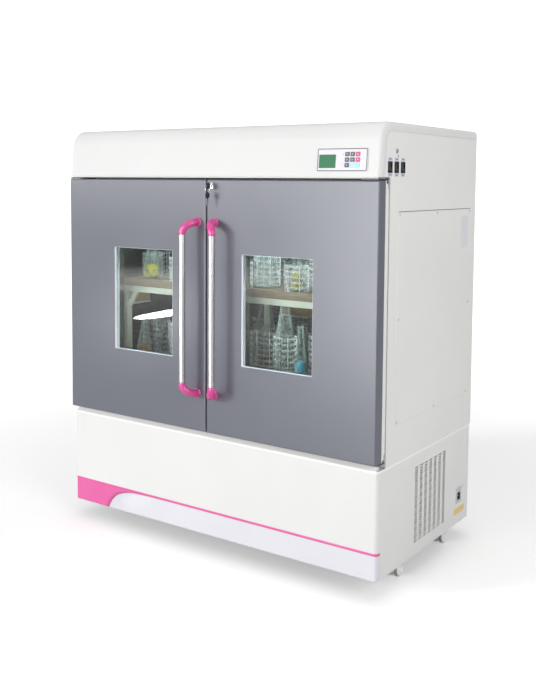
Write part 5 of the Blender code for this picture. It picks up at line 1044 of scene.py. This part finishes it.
def wireLoop(radius, plan):
    # coil spring bent into a ring: the ring angle runs once while the coil angle runs many times
    coils = int(turn * radius / plan["pitch"])
    t = np.arange(coils * plan["perCoil"]) / (coils * plan["perCoil"]) * turn
    r = radius + plan["coil"] * np.cos(coils * t)
    path = np.stack([r * np.cos(t), r * np.sin(t), plan["coil"] * np.sin(coils * t)], -1)
    return tube(path, plan["coilWire"], 3, closed=True, across=(0.13, 0.07, 1))


def clamp(radius, levels, plan):
    # legs of wire stand on a dished plate and lean out a little; sprung rings are threaded on them
    dish = [(0, 0.0002), (radius * 0.98, 0.0002), (radius * 1.03, 0.0018), (radius * 0.97, 0.0014), (0, 0.0010)]
    t = np.linspace(0, 1, 7)
    legs = []
    for angle in np.arange(plan["legs"]) * turn / plan["legs"] + plan["firstLeg"]:
        reach = radius * (0.97 + 0.03 * np.sqrt(t)) + plan["coil"]
        path = np.stack([reach * math.cos(angle), reach * math.sin(angle), 0.001 + t * (levels[-1] + 0.006)], -1)
        legs.append(tube(path, plan["wire"], 5, across=(math.cos(angle), math.sin(angle), 0.01)))
    return merged([lathe(dish, 28), *legs, *(moved(wireLoop(radius, plan), (0, 0, level)) for level in levels)])


def flaskProfile(base, height, neck, shoulder, waist, level):
    # conical flask: rounded heel, side up to the waist, cone, curved shoulder, neck, rolled lip, closed in the mouth
    outline = [(0, 0.0012), (base * 0.5, 0.0004), (base - 0.006, 0.0), (base, 0.009), (base - 0.0005, waist),
               (neck, shoulder), (neck, height - 0.004)]
    lip = [(neck + 0.0022, height - 0.002), (neck + 0.0018, height), (neck - 0.0008, height),
           (neck - 0.0016, height - 0.004), (0, height - 0.006)]
    return np.concatenate([rounded(outline, 0.018, 6), lip])


def brothProfile(base, height, neck, shoulder, waist, level):
    # the same side, a wall's thickness inside, up to the level of the liquid
    top = np.interp(level, [0.009, waist, shoulder], [base, base - 0.0005, neck])
    knee = min(waist, level - 0.004)
    outline = [(0, 0.0028), (base - 0.009, 0.0028), (base - 0.0026, 0.011), (base - 0.0030, knee),
               (top - 0.0026, level), (0, level)]
    return rounded(outline, 0.003, 3)


# flasks by kind: radius of the base, height, radius of the neck, levels of shoulder, waist and liquid
flaskKinds = {"tall": (0.037, 0.345, 0.0130, 0.285, 0.215, 0.085), "wide": (0.040, 0.175, 0.0150, 0.128, 0.020, 0.062),
              "short": (0.029, 0.118, 0.0115, 0.086, 0.012, 0.066), "long": (0.034, 0.336, 0.0170, 0.318, 0.222, 0.120),
              "cone": (0.030, 0.240, 0.0130, 0.205, 0.126, 0.134), "round": (0.033, 0.178, 0.0130, 0.132, 0.026, 0.051),
              "slim": (0.0235, 0.270, 0.0105, 0.235, 0.110, 0.152)}
# who stands where on each deck, (x, y, kind, what is in it), and the levels of the rings of both sizes of clamp
decks = {
    "Lower": {"big": np.arange(0.028, 0.226, 0.0196), "small": np.arange(0.030, 0.232, 0.0196), "flasks": [
        (-0.408, -0.198, "cone", "amberBroth"), (-0.116, 0.042, "wide", "yellowBroth"), (0.348, 0.222, "tall", None),
        (-0.348, 0.042, "tall", None), (0.232, -0.196, "long", None), (0.303, -0.206, "slim", "blueBroth"),
        (0.045, -0.048, "long", "amberBroth")]},
    "Upper": {"big": np.arange(0.018, 0.118, 0.0172), "small": np.arange(0.016, 0.100, 0.0172), "flasks": [
        (-0.116, -0.138, "wide", None), (0.116, -0.138, "wide", None), (0.348, -0.138, "wide", None),
        (0.276, -0.195, "short", "yellowBroth"), (-0.388, -0.180, "round", "yellowBroth"),
        (-0.348, 0.042, "wide", None), (-0.116, 0.042, "wide", "yellowBroth"), (0.116, 0.222, "wide", None),
        (0.045, -0.048, "short", None), (-0.232, 0.132, "short", None)]},
}
bigPlaces, smallPlaces, endPlaces = ([(x, y) for x in clampPlan[size + "X"] for y in clampPlan[size + "Y"]]
                                     for size in ("big", "small", "end"))
# on the upper deck the front left place has no clamp, and one small clamp stands farther right
shadedSpot, shifted = (-0.348, -0.138), {(0.232, -0.196): (0.276, -0.195)}
placed = {"Lower": (bigPlaces, smallPlaces + endPlaces),
          "Upper": ([spot for spot in bigPlaces if spot != shadedSpot],
                    [shifted.get(spot, spot) for spot in smallPlaces] + endPlaces)}


# the front left spot counts with the rear rows, so a clamp there takes the painted shade
def inFront(x, y):
    return y < clampPlan["frontRows"] and abs(x) < clampPlan["ends"] and (x, y) != shadedSpot


for deck, plan in decks.items():
    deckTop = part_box(deck.lower() + "_tray")[1].z
    for size, spots, rise in (("big", placed[deck][0], 0.0), ("small", placed[deck][1], -clampPlan["foot"])):
        shape = clamp(clampPlan[size + "Ring"], plan[size], clampPlan)
        # front rows take the spring steel, rear rows its darker copy: painted shade
        for row, finish in (("Front", "springSteel"), ("Rear", "shadedSpringSteel")):
            inRow = copies(shape, [(*spot, deckTop + rise) for spot in spots if inFront(*spot) == (row == "Front")])
            piece(f"clamps{size.title()}{deck}{row}", inRow, finish, "platform", clean=False)
    glassShapes, broths = [], {}
    for x, y, kind, broth in plan["flasks"]:
        onFoot = any(math.hypot(x - bigX, y - bigY) < clampPlan["onClamp"] for bigX, bigY in bigPlaces)
        place = (x, y, deckTop + 0.0016 - (0 if onFoot else clampPlan["foot"]))
        glassShapes.append(lathe(flaskProfile(*flaskKinds[kind]), 36, "Z", place))
        if broth:
            broths.setdefault(broth, []).append(lathe(brothProfile(*flaskKinds[kind]), 36, "Z", place))
    piece(f"flasks{deck}", glassShapes, "thinGlass", "platform")
    for broth, shapes in broths.items():
        piece(broth + deck, shapes, broth, "platform")
print("chamber done")


# floor, lights and camera

cameraPlan = {"place": (1.9572, -2.7849, 1.3026), "yaw": 34.8, "pitch": -4.4, "roll": 0.4, "focal": 921.1,
              "centre": (268.0, 252.3), "frame": (536, 700), "sensor": 36, "far": 60}
floorPlan = {"reach": 14.0, "bend": 4.0, "high": 12.0, "wide": 24, "steps": 17, "glow": (1.0, 5.5, 0.26, 1.0)}
yaw, pitch, roll = (math.radians(cameraPlan[key]) for key in ("yaw", "pitch", "roll"))

# the floor is white for the camera, and its glow rises away from the part, which leaves a soft shadow round it
floorFinish, tree, shader, coords = startFinish("floorFinish")
cameraRay = addNode(tree, "ShaderNodeLightPath").outputs["Is Camera Ray"]
tree.links.new(mixed(tree, cameraRay, (0.62, 0.62, 0.62), (0.97, 0.97, 0.97)), shader.inputs["Base Color"])
shader.inputs["Roughness"].default_value = 0.5
shader.inputs["Emission Color"].default_value = (1, 1, 1, 1)
away = addNode(tree, "ShaderNodeVectorMath", {"operation": "LENGTH"})
tree.links.new(coords, away.inputs[0])
risen = mapped(tree, away.outputs["Value"], floorPlan["glow"], {"interpolation_type": "SMOOTHSTEP"})
glow = addNode(tree, "ShaderNodeMath", {"operation": "MULTIPLY"})
tree.links.new(cameraRay, glow.inputs[0])
tree.links.new(risen, glow.inputs[1])
tree.links.new(glow.outputs[0], shader.inputs["Emission Strength"])
reach, bend, t = floorPlan["reach"], floorPlan["bend"], np.linspace(0, turn / 4, floorPlan["steps"])
curve = np.stack([reach - bend + bend * np.sin(t), bend - bend * np.cos(t)], -1)
floorLine = np.concatenate([[[-reach, 0.0]], curve, [[reach, floorPlan["high"]]]])
along, across = np.array([-math.sin(yaw), math.cos(yaw), 0]), np.array([math.cos(yaw), math.sin(yaw), 0])
line, wide = floorLine[:, :1] * along + floorLine[:, 1:] * (0, 0, 1), floorPlan["wide"] * across
points, quads = gridShape(np.stack([line - wide, line + wide]))
floorMesh = bpy.data.meshes.new("floor")
floorMesh.from_pydata(points.tolist(), [], quads[:, ::-1].tolist())
floorMesh.shade_smooth()
floorMesh.materials.append(floorFinish)
floor = bpy.data.objects.new("floor", floorMesh)
scene.collection.objects.link(floor)

scene.world = bpy.data.worlds.new("studio")
scene.world.use_nodes = True
sky = scene.world.node_tree
cameraRay = addNode(sky, "ShaderNodeLightPath").outputs["Is Camera Ray"]
sky.links.new(mapped(sky, cameraRay, (0.0, 1.0, 0.42, 1.0)), sky.nodes["Background"].inputs["Strength"])
sky.nodes["Background"].inputs["Color"].default_value = (1, 1, 1, 1)


def areaLight(name, place, target, size, power, colour=(1, 1, 1), hidden=()):
    made = bpy.data.lights.new(name, "AREA")
    made.shape = "RECTANGLE"
    made.size, made.size_y = size
    made.energy, made.color = power, colour
    lamp = bpy.data.objects.new(name, made)
    scene.collection.objects.link(lamp)
    lamp.location = place
    lamp.rotation_euler = (Vector(target) - Vector(place)).to_track_quat("-Z", "Y").to_euler()
    for way in hidden:
        setattr(lamp, "visible_" + way, False)
    return lamp


white, cool = (1, 1, 1), (0.92, 0.97, 1.0)
# key, top and side light; soft panels and a narrow lamp that only show as reflections; then inside the chamber the
# tube lamp's light, and a little on the lower deck's front rows
lights = [
    ("keyLight", (-6.54, -8.56, 2.9), (0, -0.34, 0.8), (2.0, 2.0), 760, white, ["glossy"]),
    ("topLight", (0.3, 0.5, 5.0), (0, 0, 0.9), (3.4, 2.6), 34),
    ("sideLight", (4.4, -1.6, 2.2), (0.5, 0, 0.8), (2.5, 2.5), 84),
    ("softPanel", (-0.1, -3.1, 1.3), (-0.1, 0, 1.3), (2.2, 2.55), 92, white, ["diffuse"]),
    ("softStrip", (-2.95, -3.1, 1.72), (-2.95, 0, 1.72), (3.3, 1.0), 42, white, ["diffuse"]),
    ("streakLamp", (-1.50, -1.80, 0.546), (-1.50, 0, 0.546), (0.46, 0.036), 2.2, white, ["diffuse"])]
for name, side in sides:
    x, deckX, word = side * 0.28, side * 0.29, name.title()
    lights += [("chamberLight" + word, (x, lampY + 0.02, lampZ - 0.012), (x, 0.1, 0.6), (0.42, 0.03), 1.6, cool),
               ("deckLight" + word, (deckX, -0.266, 0.862), (deckX, -0.1, 0.6), (0.24, 0.02), 0.2, white,
                ["glossy", "camera"])]
lamps = {light[0]: areaLight(*light) for light in lights}
# the narrow lamp is an ellipse whose length runs up to the right
streak = lamps["streakLamp"]
streak.data.shape = "ELLIPSE"
streak.rotation_euler = Matrix(((0.9797, 0, 0.2003), (-0.2003, 0, 0.9797), (0, -1, 0))).transposed().to_euler()

forward = Vector((-math.sin(yaw) * math.cos(pitch), math.cos(yaw) * math.cos(pitch), math.sin(pitch)))
right = Vector((math.cos(yaw), math.sin(yaw), 0))
up = right.cross(forward)
rolled = right * math.cos(roll) + up * math.sin(roll), -right * math.sin(roll) + up * math.cos(roll), -forward
lens = bpy.data.cameras.new("photoCamera")
camera = bpy.data.objects.new("photoCamera", lens)
scene.collection.objects.link(camera)
camera.matrix_world = Matrix(rolled).transposed().to_4x4()
camera.location = cameraPlan["place"]
(wideSide, longSide), (centreX, centreY) = cameraPlan["frame"], cameraPlan["centre"]
lens.sensor_width = cameraPlan["sensor"]
lens.sensor_fit = "AUTO"
lens.lens = cameraPlan["focal"] / longSide * cameraPlan["sensor"]
lens.shift_x = (wideSide / 2 - centreX) / longSide
lens.shift_y = (centreY - longSide / 2) / longSide
lens.clip_end = cameraPlan["far"]
scene.camera = camera
scene.view_settings.view_transform = "Standard"
